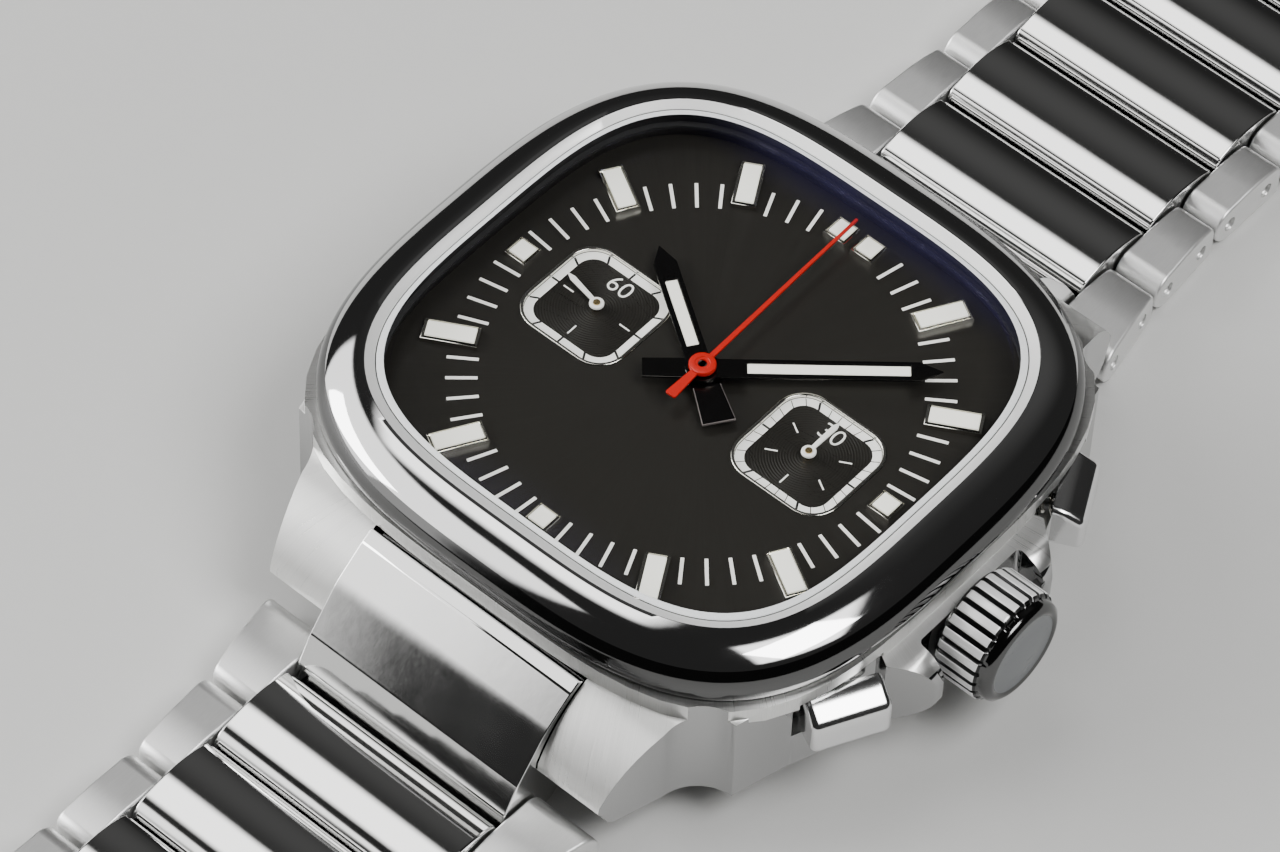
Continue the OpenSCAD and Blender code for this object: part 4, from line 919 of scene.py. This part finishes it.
def make_markers():
    frames = bmesh.new()
    blocks = bmesh.new()
    for place, width, length in each_marker():
        add(frames, marker_tray(width, length), place)
        add(blocks, brick(width - 0.42, length - 0.42, DIAL_Z + 0.3, DIAL_Z + MARKER_H - 0.01, 0.04), place)
    paints = finishes()
    finish_piece("marker_frames", frames, "case", [paints["marker_metal"]], ["hour_markers"])
    finish_piece("marker_blocks", blocks, "case", [paints["lume"]], ["marker_lume"])


def make_rims():
    bm = bmesh.new()
    for side in (-1, 1):
        ring = square_ring(SUBDIAL_HALF - 0.02, SUBDIAL_CORNER - 0.02, SUBDIAL_HALF - 0.22,
                           SUBDIAL_CORNER - 0.22, SUBDIAL_FLOOR_Z, DIAL_Z + 0.06)
        soften(ring, 0.05, 3)
        add(bm, ring, Matrix.Translation((side * SUBDIAL_X, 0, 0)))
    finish_piece("subdial_rims_polished", bm, "case", [finishes()["marker_metal"]],
                 ["subdial_rims"])


def make_minute_strokes(inner, outer, width):
    """White strokes for every minute, left out at the hours and beside 12."""
    bm = bmesh.new()
    for minute in range(60):
        if minute % 5 and minute not in (1, 59):
            stroke = bmesh.new()
            face = flat_face(stroke, [(-width / 2, inner, width * 0.1), (width / 2, inner, width * 0.1),
                                      (width / 2, outer, width * 0.1), (-width / 2, outer, width * 0.1)], 2)
            thicken(stroke, [face], 0.025)
            add(bm, stroke, Matrix.Translation((0, 0, DIAL_Z - 0.008)) @ turn_z(-6 * minute))
    finish_piece("minute_strokes", bm, "case", [finishes()["print_white_painted_glow"]], weighted=False)


def track(count, bold_every, width):
    """The white ring of a small dial in finish 0, with black divisions in finish 1."""
    outer, corner = SUBDIAL_HALF - 0.24, SUBDIAL_CORNER - 0.24
    inner, inner_corner = outer - width, corner - width
    bm = bmesh.new()
    add(bm, square_ring(outer, corner, inner, inner_corner, SUBDIAL_FLOOR_Z - 0.005, SUBDIAL_FLOOR_Z + 0.014),
        finish=0)
    for i in range(count):
        angle = math.tau * i / count
        near = corner_reach(inner, inner_corner, angle) - 0.01
        far = corner_reach(outer, corner, angle) - 0.04
        thick = 0.13 if i % bold_every == 0 else 0.05
        line = brick(far - near, thick, SUBDIAL_FLOOR_Z, SUBDIAL_FLOOR_Z + 0.02)
        add(bm, line, turn_z(math.degrees(angle), (near + far) / 2), 1)
    return bm


def numeral(text, size, x, y):
    """A printed numeral, its middle at (x, y), as a thin mesh on the small dial's floor."""
    curve = bpy.data.curves.new("numeral", "FONT")
    curve.body = text
    curve.size = size
    curve.align_x = "CENTER"
    curve.align_y = "CENTER"
    curve.extrude = 0.01
    curve.offset = -0.015
    curve.resolution_u = 6
    holder = bpy.data.objects.new("numeral", curve)
    bpy.context.scene.collection.objects.link(holder)
    flat = bpy.data.meshes.new_from_object(holder.evaluated_get(bpy.context.evaluated_depsgraph_get()))
    bm = bmesh.new()
    bm.from_mesh(flat)
    bpy.data.meshes.remove(flat)
    bpy.data.objects.remove(holder)
    bpy.data.curves.remove(curve)
    bmesh.ops.translate(bm, verts=bm.verts, vec=(x, y, SUBDIAL_FLOOR_Z + 0.008))
    return bm


def make_small_dial(name, x, text, divisions, bold_every, tick_angles, size, width):
    """Everything that is printed in one small dial."""
    bm = bmesh.new()
    add(bm, track(divisions, bold_every, width), Matrix.Translation((x, 0, 0)))
    for angle in tick_angles:
        add(bm, brick(0.09, 0.72, SUBDIAL_FLOOR_Z - 0.005, SUBDIAL_FLOOR_Z + 0.014),
            Matrix.Translation((x, 0, 0)) @ turn_z(-angle, 0, 2.05), 0)
    add(bm, numeral(text, size, x, 1.95), finish=0)
    paints = finishes()
    finish_piece(name, bm, "case", [paints["print_white_painted_glow"], paints["print_black"]],
                 weighted=False)


def slotted_plate(outline, slot, low, high):
    """A plate through outline points, with an open slot given by its corner points."""
    bm = bmesh.new()
    edges = []
    for points in (outline, slot):
        verts = [bm.verts.new((x, y, 0)) for x, y in points]
        edges += [bm.edges.new((verts[i - 1], verts[i])) for i in range(len(verts))]
    bmesh.ops.triangle_fill(bm, use_beauty=True, edges=edges)
    bmesh.ops.dissolve_limit(bm, angle_limit=math.radians(1), verts=bm.verts, edges=bm.edges)
    thicken(bm, bm.faces[:], high - low)
    bmesh.ops.translate(bm, verts=bm.verts, vec=(0, 0, low))
    bmesh.ops.recalc_face_normals(bm, faces=bm.faces)
    return bm


def hub(outer, inner, low, high, bevel=0.04, steps=48):
    """A round hub with a bore."""
    return turned([(inner, low), (outer, low), (outer, high - bevel), (outer - bevel, high),
                   (inner, high), (inner, low)], steps)


def make_baton_hand(name, node, body, tip, width, tail, tail_width, slot, bore, low, angle):
    """A dark polished hand with a broad tail, a pointed tip and a luminous insert."""
    half, slot_half = width / 2, width * 0.26
    right = [(tail_width / 2, -tail), (half + 0.05, -0.3), (half, 0.6), (half, tip - 1.3)]
    outline = [(-tail_width / 2, -tail), *right, (0, tip), *((-x, y) for x, y in right[:0:-1])]
    corners = [(-slot_half, slot[0]), (slot_half, slot[0]), (slot_half, slot[1]), (-slot_half, slot[1])]
    turn = turn_z(-angle)
    bm = bmesh.new()
    plate = slotted_plate(outline, corners, low, low + HAND_T)
    soften(plate, 0.045, 2)
    for face in plate.faces:
        face.material_index = 2 if tail_width > width and face.calc_center_median().y < -0.4 else 0
    add(bm, plate, turn)
    add(bm, hub(bore + 0.45, bore + 0.02, low, low + HAND_T + 0.02), turn, 0)
    length = slot[1] - slot[0]
    add(bm, brick(2 * slot_half - 0.03, length - 0.03, low + 0.03, low + HAND_T - 0.015, 0.03),
        turn @ Matrix.Translation((0, (slot[0] + slot[1]) / 2, 0)), 1)
    paints = finishes()
    finish_piece(name, bm, body, [paints["hand_black"], paints["lume"], paints["hand_tail"]],
                 [node])


def make_chrono_hand():
    """The red central seconds hand with its round hub."""
    bm = bmesh.new()
    blade = bmesh.new()
    face = flat_face(blade, [(-0.34, -2.8, 0.1), (0.34, -2.8, 0.1), (0.16, 0.6, 0), (0.085, 13.6, 0.03),
                             (-0.085, 13.6, 0.03), (-0.16, 0.6, 0)], 3)
    thicken(blade, [face], HAND_T)
    bmesh.ops.translate(blade, verts=blade.verts, vec=(0, 0, CHRONO_Z))
    soften(blade, 0.03, 2)
    add(bm, blade, turn_z(-CHRONO_ANGLE))
    top = CHRONO_Z + HAND_T + 0.1
    add(bm, turned([(0.27, CHRONO_Z), (0.77, CHRONO_Z), (0.77, top - 0.08), (0.73, top - 0.02), (0.66, top),
                    (0.44, top), (0.41, top - 0.04), (0.27, top - 0.04), (0.27, CHRONO_Z)], 64))
    finish_piece("chrono_hand_red", bm, "chrono_seconds", [finishes()["hand_red"]],
                 ["chrono_seconds_hand"])


def make_small_hand(name, node, body, x, angle):
    """A slim white hand of a small dial on its round hub."""
    bm = bmesh.new()
    blade = bmesh.new()
    face = flat_face(blade, [(-0.12, 0, 0), (0.12, 0, 0), (0.17, 2.2, 0.05), (0, 2.7, 0.04),
                             (-0.17, 2.2, 0.05)], 2)
    thicken(blade, [face], HAND_T * 0.8)
    bmesh.ops.translate(blade, verts=blade.verts, vec=(0, 0, SMALL_Z + 0.02))
    soften(blade, 0.03, 2)
    add(bm, blade, turn_z(-angle))
    add(bm, hub(0.42, 0.22, SMALL_Z, SMALL_Z + HAND_T, 0.05, 36))
    bmesh.ops.translate(bm, verts=bm.verts, vec=(x, 0, 0))
    finish_piece(name, bm, body, [finishes()["hand_white"]], [node])


# Crown and pushers

def crown_ring(radius, x, depth):
    """A rule that puts a point on the crown's ribbed outline at x."""
    def place(co):
        angle = math.atan2(co.y, co.z)
        phase = abs((angle * CROWN_RIBS / math.tau) % 1 - 0.5) * 2
        here = radius - depth * (0.5 + 0.5 * math.cos(math.pi * min(1.0, phase / GROOVE_SHARE)))
        return Vector((x, here * math.sin(angle), here * math.cos(angle)))
    return place


def make_crown(rib_depth):
    """The ribbed crown with a chamfered rim and a shallow dished cap."""
    bm = bmesh.new()
    r, inner, outer = CROWN_R, CROWN_IN_X, CROWN_OUT_X
    upright = Matrix.Rotation(math.pi / 2, 4, "Y")
    rows = [(r - 0.52, inner, 0.0), (r - 0.42, inner + 0.02, 0.0), (r - 0.1, inner + 0.26, 0.6),
            (r, inner + 0.42, 1.0), (r, outer - 0.98, 1.0), (r - 0.04, outer - 0.86, 0.9),
            (r - 0.16, outer - 0.72, 0.4),
            (r - 0.26, outer - 0.64, 0.0), (r - 0.28, outer - 0.4, 0.0), (r - 0.34, outer - 0.24, 0.0),
            (r - 0.6, outer - 0.04, 0.0), (r - 0.74, outer, 0.0), (r - 0.88, outer - 0.03, 0.0),
            (r - 0.96, outer - 0.1, 0.0)]
    edges = start_ring(bm, CROWN_RIBS * 16, crown_ring(rows[0][0], rows[0][1], 0), upright)
    seat = edges
    # Rows near the outer end take finish 2, the rim's painted dark reflection
    for radius, x, share in rows[1:]:
        edges = grow_ring(bm, edges, crown_ring(radius, x, rib_depth * share), 0 if x < outer - 0.7 else 2)
    # Faces low in the grooves take finish 3: painted shade in the grooves
    for face in bm.faces:
        middle = face.calc_center_median()
        if face.material_index == 0 and math.hypot(middle.y, middle.z) < r - rib_depth * 0.3:
            face.material_index = 3
    for radius, x in ((r - 1.1, outer - 0.12), (1.4, outer - 0.06), (0.5, outer - 0.04)):
        edges = grow_ring(bm, edges, crown_ring(radius, x, 0), 1)
    bmesh.ops.edgeloop_fill(bm, edges=edges, mat_nr=1)
    for radius, x in ((1.56, inner), (1.54, inner + 0.06), (1.54, inner + 1.8), (0.6, inner + 1.8)):
        seat = grow_ring(bm, seat, crown_ring(radius, x, 0), 0)
    bmesh.ops.edgeloop_fill(bm, edges=seat)
    bmesh.ops.translate(bm, verts=bm.verts, vec=(0, 0, STEM_Z))
    paints = finishes()
    finish_piece("crown_ribbed", bm, "crown",
                 [paints[name] for name in ("crown_steel", "crown_cap", "crown_rim_painted_dark_reflection", "crown_groove_painted_shade")],
                 ["crown"], sharp=40, weighted=False)


def make_pusher(name, node, body, side):
    """A pusher: its faceted head and the stem behind it."""
    low, top = PUSHER_LOW_Z, PUSHER_LOW_Z + 2.25
    inner, outer = PUSHER_IN_R, PUSHER_OUT_R
    head = across_bar([(inner, low, 0), (outer, low, 0), (outer, top, 0), (outer - 1.3, top + 0.75, 0),
                       (inner, top + 0.8, 0)], -PUSHER_WIDTH / 2, PUSHER_WIDTH / 2)
    shown = [edge for edge in head.edges if max(vert.co.y for vert in edge.verts) > inner + 0.1]
    soften(head, 0.45, 5, 15, shown)
    bmesh.ops.rotate(head, verts=head.verts, cent=(0, 0, 0), matrix=Matrix.Rotation(-math.pi / 2, 3, "Z"))
    stem = turned([(0, 13.95), (0.5, 13.95), (0.55, 14.0), (0.55, 15.8), (0.8, 15.82), (0.8, 16.13),
                   (0.55, 16.15), (0.55, inner + 0.5), (0, inner + 0.5)], 32, "X", (0, 0, STEM_Z))
    bm = bmesh.new()
    add(bm, head)
    add(bm, stem)
    bmesh.ops.rotate(bm, verts=bm.verts, cent=(0, 0, 0),
                     matrix=Matrix.Rotation(math.radians(side * PUSHER_ANGLE), 3, "Z"))
    finish_piece(name, bm, body, [finishes()["pusher_steel"]], [node])


def make_pusher_spring(node, side):
    """A return spring: its CAD node's mesh in arbor steel, riding on the case with a mesh of its own."""
    bm = bmesh.new()
    bm.from_mesh(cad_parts[node].data)
    bmesh.ops.scale(bm, vec=(1 / MM,) * 3, verts=bm.verts)
    outward = Matrix.Rotation(math.radians(side * PUSHER_ANGLE), 3, "Z") @ Vector((1, 0, 0))
    reaches = [vert.co.dot(outward) for vert in bm.verts]
    inner, length = min(reaches), max(reaches) - min(reaches)
    piece = finish_piece(f"{node}_coil", bm, "case", [finishes()["arbor_steel"]], [node])
    anchor = (outward * inner + Vector((0, 0, STEM_Z))) * MM
    (length - PUSHER_TRAVEL) / length
    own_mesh(piece)


# Bracelet and clasp

def outer_half_at(y):
    """Half width over the outer links at a distance from the dial's middle."""
    near_end = FIRST_HINGE_Y - OUTER_T / 2
    first_end = FIRST_HINGE_Y + LINK_PITCH - OUTER_T / 2 - 0.2
    if y < near_end:
        return OUTER_HALF_LUG
    if y < first_end:
        share = (y - near_end) / (first_end - near_end)
        return OUTER_HALF_LUG + (OUTER_HALF_SECOND - OUTER_HALF_LUG) * share
    if y < first_end + LINK_PITCH:
        share = (y - first_end) / LINK_PITCH
        return OUTER_HALF_SECOND + (OUTER_HALF_REST - OUTER_HALF_SECOND) * share
    return OUTER_HALF_REST


def arch(y0, y1, peak_y, peak_z, radius, count):
    """Points of a shallow arch from y1 back to y0, without corner rounding."""
    points = []
    for i in range(count):
        y = y1 + (y0 - y1) * i / (count - 1)
        points.append((y, peak_z - radius + math.sqrt(radius ** 2 - (y - peak_y) ** 2), 0))
    return points


def pin_bar(radius, half, y):
    """A pin along X with lightly rounded ends."""
    return turned([(0, -half), (radius - 0.06, -half), (radius, -half + 0.06), (radius, half - 0.06),
                   (radius - 0.06, half), (0, half)], 28, "X", (0, y, OUTER_T / 2))


def outer_piece(near, far, edge):
    """One satin outer piece on the +X side, tapering from near to far, with its pin holes."""
    end = LINK_PITCH - OUTER_T / 2 - 0.2
    knuckle = OUTER_T / 2
    corners = [(-knuckle, 0, knuckle - 0.02), (end, 0, 0.3), (end, 2.28, 0.7)]
    corners += arch(1.0, end - 0.95, end / 2 - 0.3, OUTER_T + 0.12, 11, 5)
    corners += [(-knuckle, OUTER_T, knuckle - 0.02)]
    bm = across_bar(corners, OUTER_IN, OUTER_IN + 1, 8)
    for vert in bm.verts:
        if vert.co.x > OUTER_IN + 0.5:
            vert.co.x = near + (far - near) * (vert.co.y + knuckle) / (end + knuckle)
    soften(bm, edge, 3, 40)
    for y in (0, OWN_PIN):
        hole_r = PIN_R + 0.03
        hole = turned([(0, -1), (hole_r, -1), (hole_r, 20), (0, 20)], 28, "X", (0, y, OUTER_T / 2))
        bm = carve(bm, hole)
    return bm


def centre_piece(edge):
    """The polished arched centre piece, half a step beyond its outer pieces."""
    start, end = 2.05, 8.2
    corners = [(start, 0, 0.4), (end, 0, 1.0), (end, 2.34, 1.0)]
    corners += arch(start + 0.75, end - 1.0, (start + end) / 2 - 0.2, CENTRE_T, 7.5, 9)
    corners += [(start, 2.5, 0.7)]
    bm = across_bar(corners, -CENTRE_HALF, CENTRE_HALF, 7)
    soften(bm, edge, 3, 50)
    return bm


def make_link(side, number, outer_round, centre_round):
    """One bracelet link: outer pieces with pins, and the centre piece."""
    node = f"link_{side}_{number}"
    y0 = FIRST_HINGE_Y + LINK_PITCH * (number - 1)
    end = LINK_PITCH - OUTER_T / 2 - 0.2
    near = outer_half_at(y0 - OUTER_T / 2)
    far = outer_half_at(y0 + end)
    flip = Matrix.Identity(4) if side == 12 else Matrix.Rotation(math.pi, 4, "Z")
    place = flip @ Matrix.Translation((0, y0, 0))
    outers = bmesh.new()
    piece = outer_piece(near, far, outer_round)
    twin = piece.copy()
    add(outers, piece, place, 0)
    add(outers, twin, place @ Matrix.Diagonal((-1, 1, 1, 1)), 0)
    for y in (0, OWN_PIN):
        add(outers, pin_bar(PIN_R, outer_half_at(y0 + y) - PIN_RECESS, y), place, 1)
    paints = finishes()
    finish_piece(f"{node}_outers", outers, node, [paints["link_steel"], paints["polished_steel"]],
                 [node])
    centre = bmesh.new()
    add(centre, centre_piece(centre_round), place)
    finish_piece(f"{node}_centre", centre, node, [paints["link_polished"]])


def make_copy(node, body, width, finish):
    """A node's own shape with its sharp edges softened."""
    finish_piece(f"{node}_softened", softened_node(node, width), body, [finishes()[finish]], [node])


# What keeps its CAD shape and only gets a better finish
NODE_FINISHES = {
    "case_back_gasket": "gasket", "case_tubes": "polished_steel", "crystal_gasket": "gasket",
    "dial": "dial_black",
    "movement_ring": "movement_brass", "main_plate": "movement_plate", "train_bridge": "movement_plate",
    "movement_screws": "blued_screw", "balance_cock": "movement_plate", "balance_wheel": "movement_brass",
    "winding_rotor": "movement_plate", "minute_wheel": "movement_brass", "hour_wheel": "movement_brass",
    "cannon_pinion": "arbor_steel", "chrono_arbor": "arbor_steel", "seconds_arbor": "movement_brass",
    "counter_arbor": "movement_brass", "winding_stem": "arbor_steel", "crown_gasket": "gasket",
    "spring_bars": "polished_steel",
}


class WatchOperator:
    """What the watch's operators share."""

    bl_options = {"REGISTER", "UNDO"}


class WATCH_OT_case(WatchOperator, bpy.types.Operator):
    """Build the case, case back, bezel, crystal and flange"""

    bl_idname = "watch.case"
    bl_label = "Case and bezel"

    def execute(self, context):
        settings = context.scene.watch_case
        make_case(settings.edge_round / MM)
        make_copy("case_back", "case", 0.06, "back_steel")
        make_bezel(settings.outline_steps)
        make_flange(settings.outline_steps)
        make_crystal(settings.outline_steps)
        return {"FINISHED"}


class WATCH_OT_dial(WatchOperator, bpy.types.Operator):
    """Build the dial's markers, rims and printing"""

    bl_idname = "watch.dial"
    bl_label = "Dial"

    def execute(self, context):
        settings = context.scene.watch_dial
        make_markers()
        make_rims()
        make_minute_strokes(settings.stroke_inner / MM, settings.stroke_outer / MM,
                            settings.stroke_width / MM)
        size, width = settings.numeral_height / MM, settings.track_width / MM
        make_small_dial("seconds_printing", -SUBDIAL_X, "60", 12, 1, (90, 180, 270), size, width)
        make_small_dial("counter_printing", SUBDIAL_X, "30", 30, 5, (60, 120, 180, 240, 300), size, width)
        return {"FINISHED"}


class WATCH_OT_hands(WatchOperator, bpy.types.Operator):
    """Build the five hands"""

    bl_idname = "watch.hands"
    bl_label = "Hands"

    def execute(self, context):
        make_baton_hand("hour_hand_dark", "hour_hand", "hour", tip=9.2, width=1.35, tail=3.6, tail_width=1.9,
                        slot=(1.9, 6.6), bore=0.82, low=HOUR_Z, angle=HOUR_ANGLE)
        make_baton_hand("minute_hand_dark", "minute_hand", "minute", tip=13.2, width=1.3, tail=3.3,
                        tail_width=1.3, slot=(2.45, 11.4), bore=0.52, low=MINUTE_Z, angle=MINUTE_ANGLE)
        make_chrono_hand()
        make_small_hand("small_seconds_white", "small_seconds_hand", "small_seconds", -SUBDIAL_X,
                        SMALL_SECONDS_ANGLE)
        make_small_hand("minute_counter_white", "minute_counter_hand", "minute_counter", SUBDIAL_X, 0)
        return {"FINISHED"}


class WATCH_OT_crown(WatchOperator, bpy.types.Operator):
    """Build the crown and the two pushers"""

    bl_idname = "watch.crown"
    bl_label = "Crown and pushers"

    def execute(self, context):
        make_crown(context.scene.watch_case.rib_depth / MM)
        make_pusher("pusher_upper_faceted", "pusher_upper", "pusher_upper", 1)
        make_pusher("pusher_lower_faceted", "pusher_lower", "pusher_lower", -1)
        make_pusher_spring("pusher_spring_upper", 1)
        make_pusher_spring("pusher_spring_lower", -1)
        return {"FINISHED"}


class WATCH_OT_bracelet(WatchOperator, bpy.types.Operator):
    """Build the end links, the seventeen links and the clasp"""

    bl_idname = "watch.bracelet"
    bl_label = "Bracelet and clasp"

    def execute(self, context):
        settings = context.scene.watch_bracelet
        for node in ("end_link_12", "end_link_6"):
            make_copy(node, "case", 0.12, "link_polished")
        for side, count in ((12, LINKS_12), (6, LINKS_6)):
            for number in range(1, count + 1):
                make_link(side, number, settings.outer_round / MM, settings.centre_round / MM)
        make_copy("clasp_cover", "clasp_cover", 0.15, "clasp_steel")
        make_copy("clasp_blade_outer", "clasp_blade_outer", 0.06, "blade_steel")
        make_copy("clasp_blade_inner", "clasp_blade_inner", 0.06, "blade_steel")
        return {"FINISHED"}


class WATCH_OT_inner(WatchOperator, bpy.types.Operator):
    """Give the inner parts that keep their CAD shape their finishes"""

    bl_idname = "watch.inner"
    bl_label = "Inner parts"

    def execute(self, context):
        for node, finish in NODE_FINISHES.items():
            for material_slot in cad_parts[node].material_slots:
                material_slot.material = finishes()[finish]
        return {"FINISHED"}


# Soft cards of light in the surroundings, each as (way to its middle, way along it, half length,
# half width, soft edge, level); the halves are tangents of angles
CARDS = (
    ((0.525, 0.067, 0.848), (0.73, -0.35, -0.51), 0.30, 0.28, 0.04, 3.4),
    ((-0.39, 0.06, 0.92), (0.0, 1.0, 0.0), 0.21, 0.20, 0.06, 3.4),
    ((-0.797, -0.447, 0.404), (0.038, 0.151, 0.245), 0.60, 0.577, 0.04, 2.4),
    ((-0.30, 0.65, 0.70), (1.0, 0.2, 0.0), 0.55, 0.28, 0.26, 0.06),
)


def studio_surroundings(room):
    """A dark room with soft cards of light in it."""
    world = bpy.data.worlds.new("studio")
    shading = Shading(world)
    way = shading.node("ShaderNodeTexCoord", {}, {}).outputs["Generated"]
    light = Signal(shading, shading.node("ShaderNodeValue", {}, {}).outputs[0])
    light.socket.default_value = room
    for middle, along, half_length, half_width, soft, level in CARDS:
        ahead = Vector(middle).normalized()
        right = (Vector(along) - ahead * ahead.dot(Vector(along))).normalized()
        depth = shading.math("MAXIMUM", shading.dot(way, ahead), 0.01)
        side = shading.math("ABSOLUTE", shading.dot(way, right) / depth)
        rise = shading.math("ABSOLUTE", shading.dot(way, ahead.cross(right)) / depth)
        light = light + (shading.ease(side, half_length + soft, half_length - soft)
                         * shading.ease(rise, half_width + soft, half_width - soft) * level)
    glow = shading.node("ShaderNodeBackground", {}, {"Color": (1.0, 0.995, 0.985, 1.0), "Strength": light})
    shading.node("ShaderNodeOutputWorld", {}, {"Surface": glow.outputs[0]})
    return world


# Each light as (name, position, size x, size y, watts), in metres, aimed at the dial
LIGHTS = (
    ("softbox_left", (-0.53, -0.32, 0.26), 0.42, 0.30, 3.4),
    ("softbox_right", (0.34, 0.044, 0.55), 0.30, 0.28, 2.4),
)


# The photograph's camera: its right, up and backward axes, and its place in metres
CAMERA_AXES = ((0.75267586, 0.65778075, 0.02834666), (-0.53201045, 0.58226858, 0.61475864),
               (0.38787103, -0.4777947, 0.78820574))
CAMERA_PLACE = (0.12964, -0.16484, 0.26417 + DIAL_Z * MM)


class WATCH_OT_stage(WatchOperator, bpy.types.Operator):
    """Make the floor, the lights and the camera"""

    bl_idname = "watch.stage"
    bl_label = "Studio"

    def execute(self, context):
        settings = context.scene.watch_stage
        bm = bmesh.new()
        bmesh.ops.create_grid(bm, x_segments=1, y_segments=1, size=2.0)
        mesh = bpy.data.meshes.new("studio_floor")
        bm.to_mesh(mesh)
        bm.free()
        mesh.materials.append(studio_floor(tuple(settings.floor_color)))
        floor = bpy.data.objects.new("studio_floor", mesh)
        context.scene.collection.objects.link(floor)
        target = Vector((0, 0, DIAL_Z * MM))
        for name, place, size_x, size_y, watts in LIGHTS:
            light = bpy.data.lights.new(name, "AREA")
            light.shape = "RECTANGLE"
            light.size = size_x
            light.size_y = size_y
            light.energy = watts * settings.light_level
            lamp = bpy.data.objects.new(name, light)
            lamp.location = place
            lamp.rotation_mode = "QUATERNION"
            lamp.rotation_quaternion = (Vector(place) - target).to_track_quat("Z", "Y")
            context.scene.collection.objects.link(lamp)
        context.scene.world = studio_surroundings(settings.world_level)
        camera = bpy.data.cameras.new("camera")
        camera.lens = settings.lens / MM
        camera.sensor_width = 36.0
        camera.clip_start = 0.01
        holder = bpy.data.objects.new("camera", camera)
        turn = Matrix(CAMERA_AXES).transposed().to_4x4()
        holder.matrix_world = Matrix.Translation(CAMERA_PLACE) @ turn
        context.scene.collection.objects.link(holder)
        context.scene.camera = holder
        return {"FINISHED"}


STEPS = (WATCH_OT_stage, WATCH_OT_case, WATCH_OT_dial, WATCH_OT_hands, WATCH_OT_crown,
         WATCH_OT_bracelet, WATCH_OT_inner)
SETTINGS = {"watch_dial": WatchDialSettings, "watch_case": WatchCaseSettings,
            "watch_bracelet": WatchBraceletSettings, "watch_stage": WatchStageSettings}


class WATCH_PT_panel(bpy.types.Panel):
    """The watch's settings and the operators that build it."""

    bl_idname = "WATCH_PT_panel"
    bl_label = "Chronograph watch"
    bl_space_type = "VIEW_3D"
    bl_region_type = "UI"
    bl_category = "Watch"

    def draw(self, context):
        for name, group in SETTINGS.items():
            box = self.layout.box()
            box.label(text=name.replace("_", " ").capitalize())
            for field in group.__annotations__:
                box.prop(getattr(context.scene, name), field)
        for step in STEPS:
            self.layout.operator(step.bl_idname)


CLASSES = (*SETTINGS.values(), *STEPS, WATCH_PT_panel)


def register():
    for cls in CLASSES:
        bpy.utils.register_class(cls)
    for name, group in SETTINGS.items():
        setattr(bpy.types.Scene, name, PointerProperty(type=group))


def unregister():
    for name in SETTINGS:
        delattr(bpy.types.Scene, name)
    for cls in reversed(CLASSES):
        bpy.utils.unregister_class(cls)


def main():
    """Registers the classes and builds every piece."""
    register()
    bpy.ops.watch.stage()
    bpy.ops.watch.case()
    bpy.ops.watch.dial()
    bpy.ops.watch.hands()
    bpy.ops.watch.crown()
    bpy.ops.watch.bracelet()
    bpy.ops.watch.inner()
    bpy.context.view_layer.update()


if __name__ == "__main__":
    main()
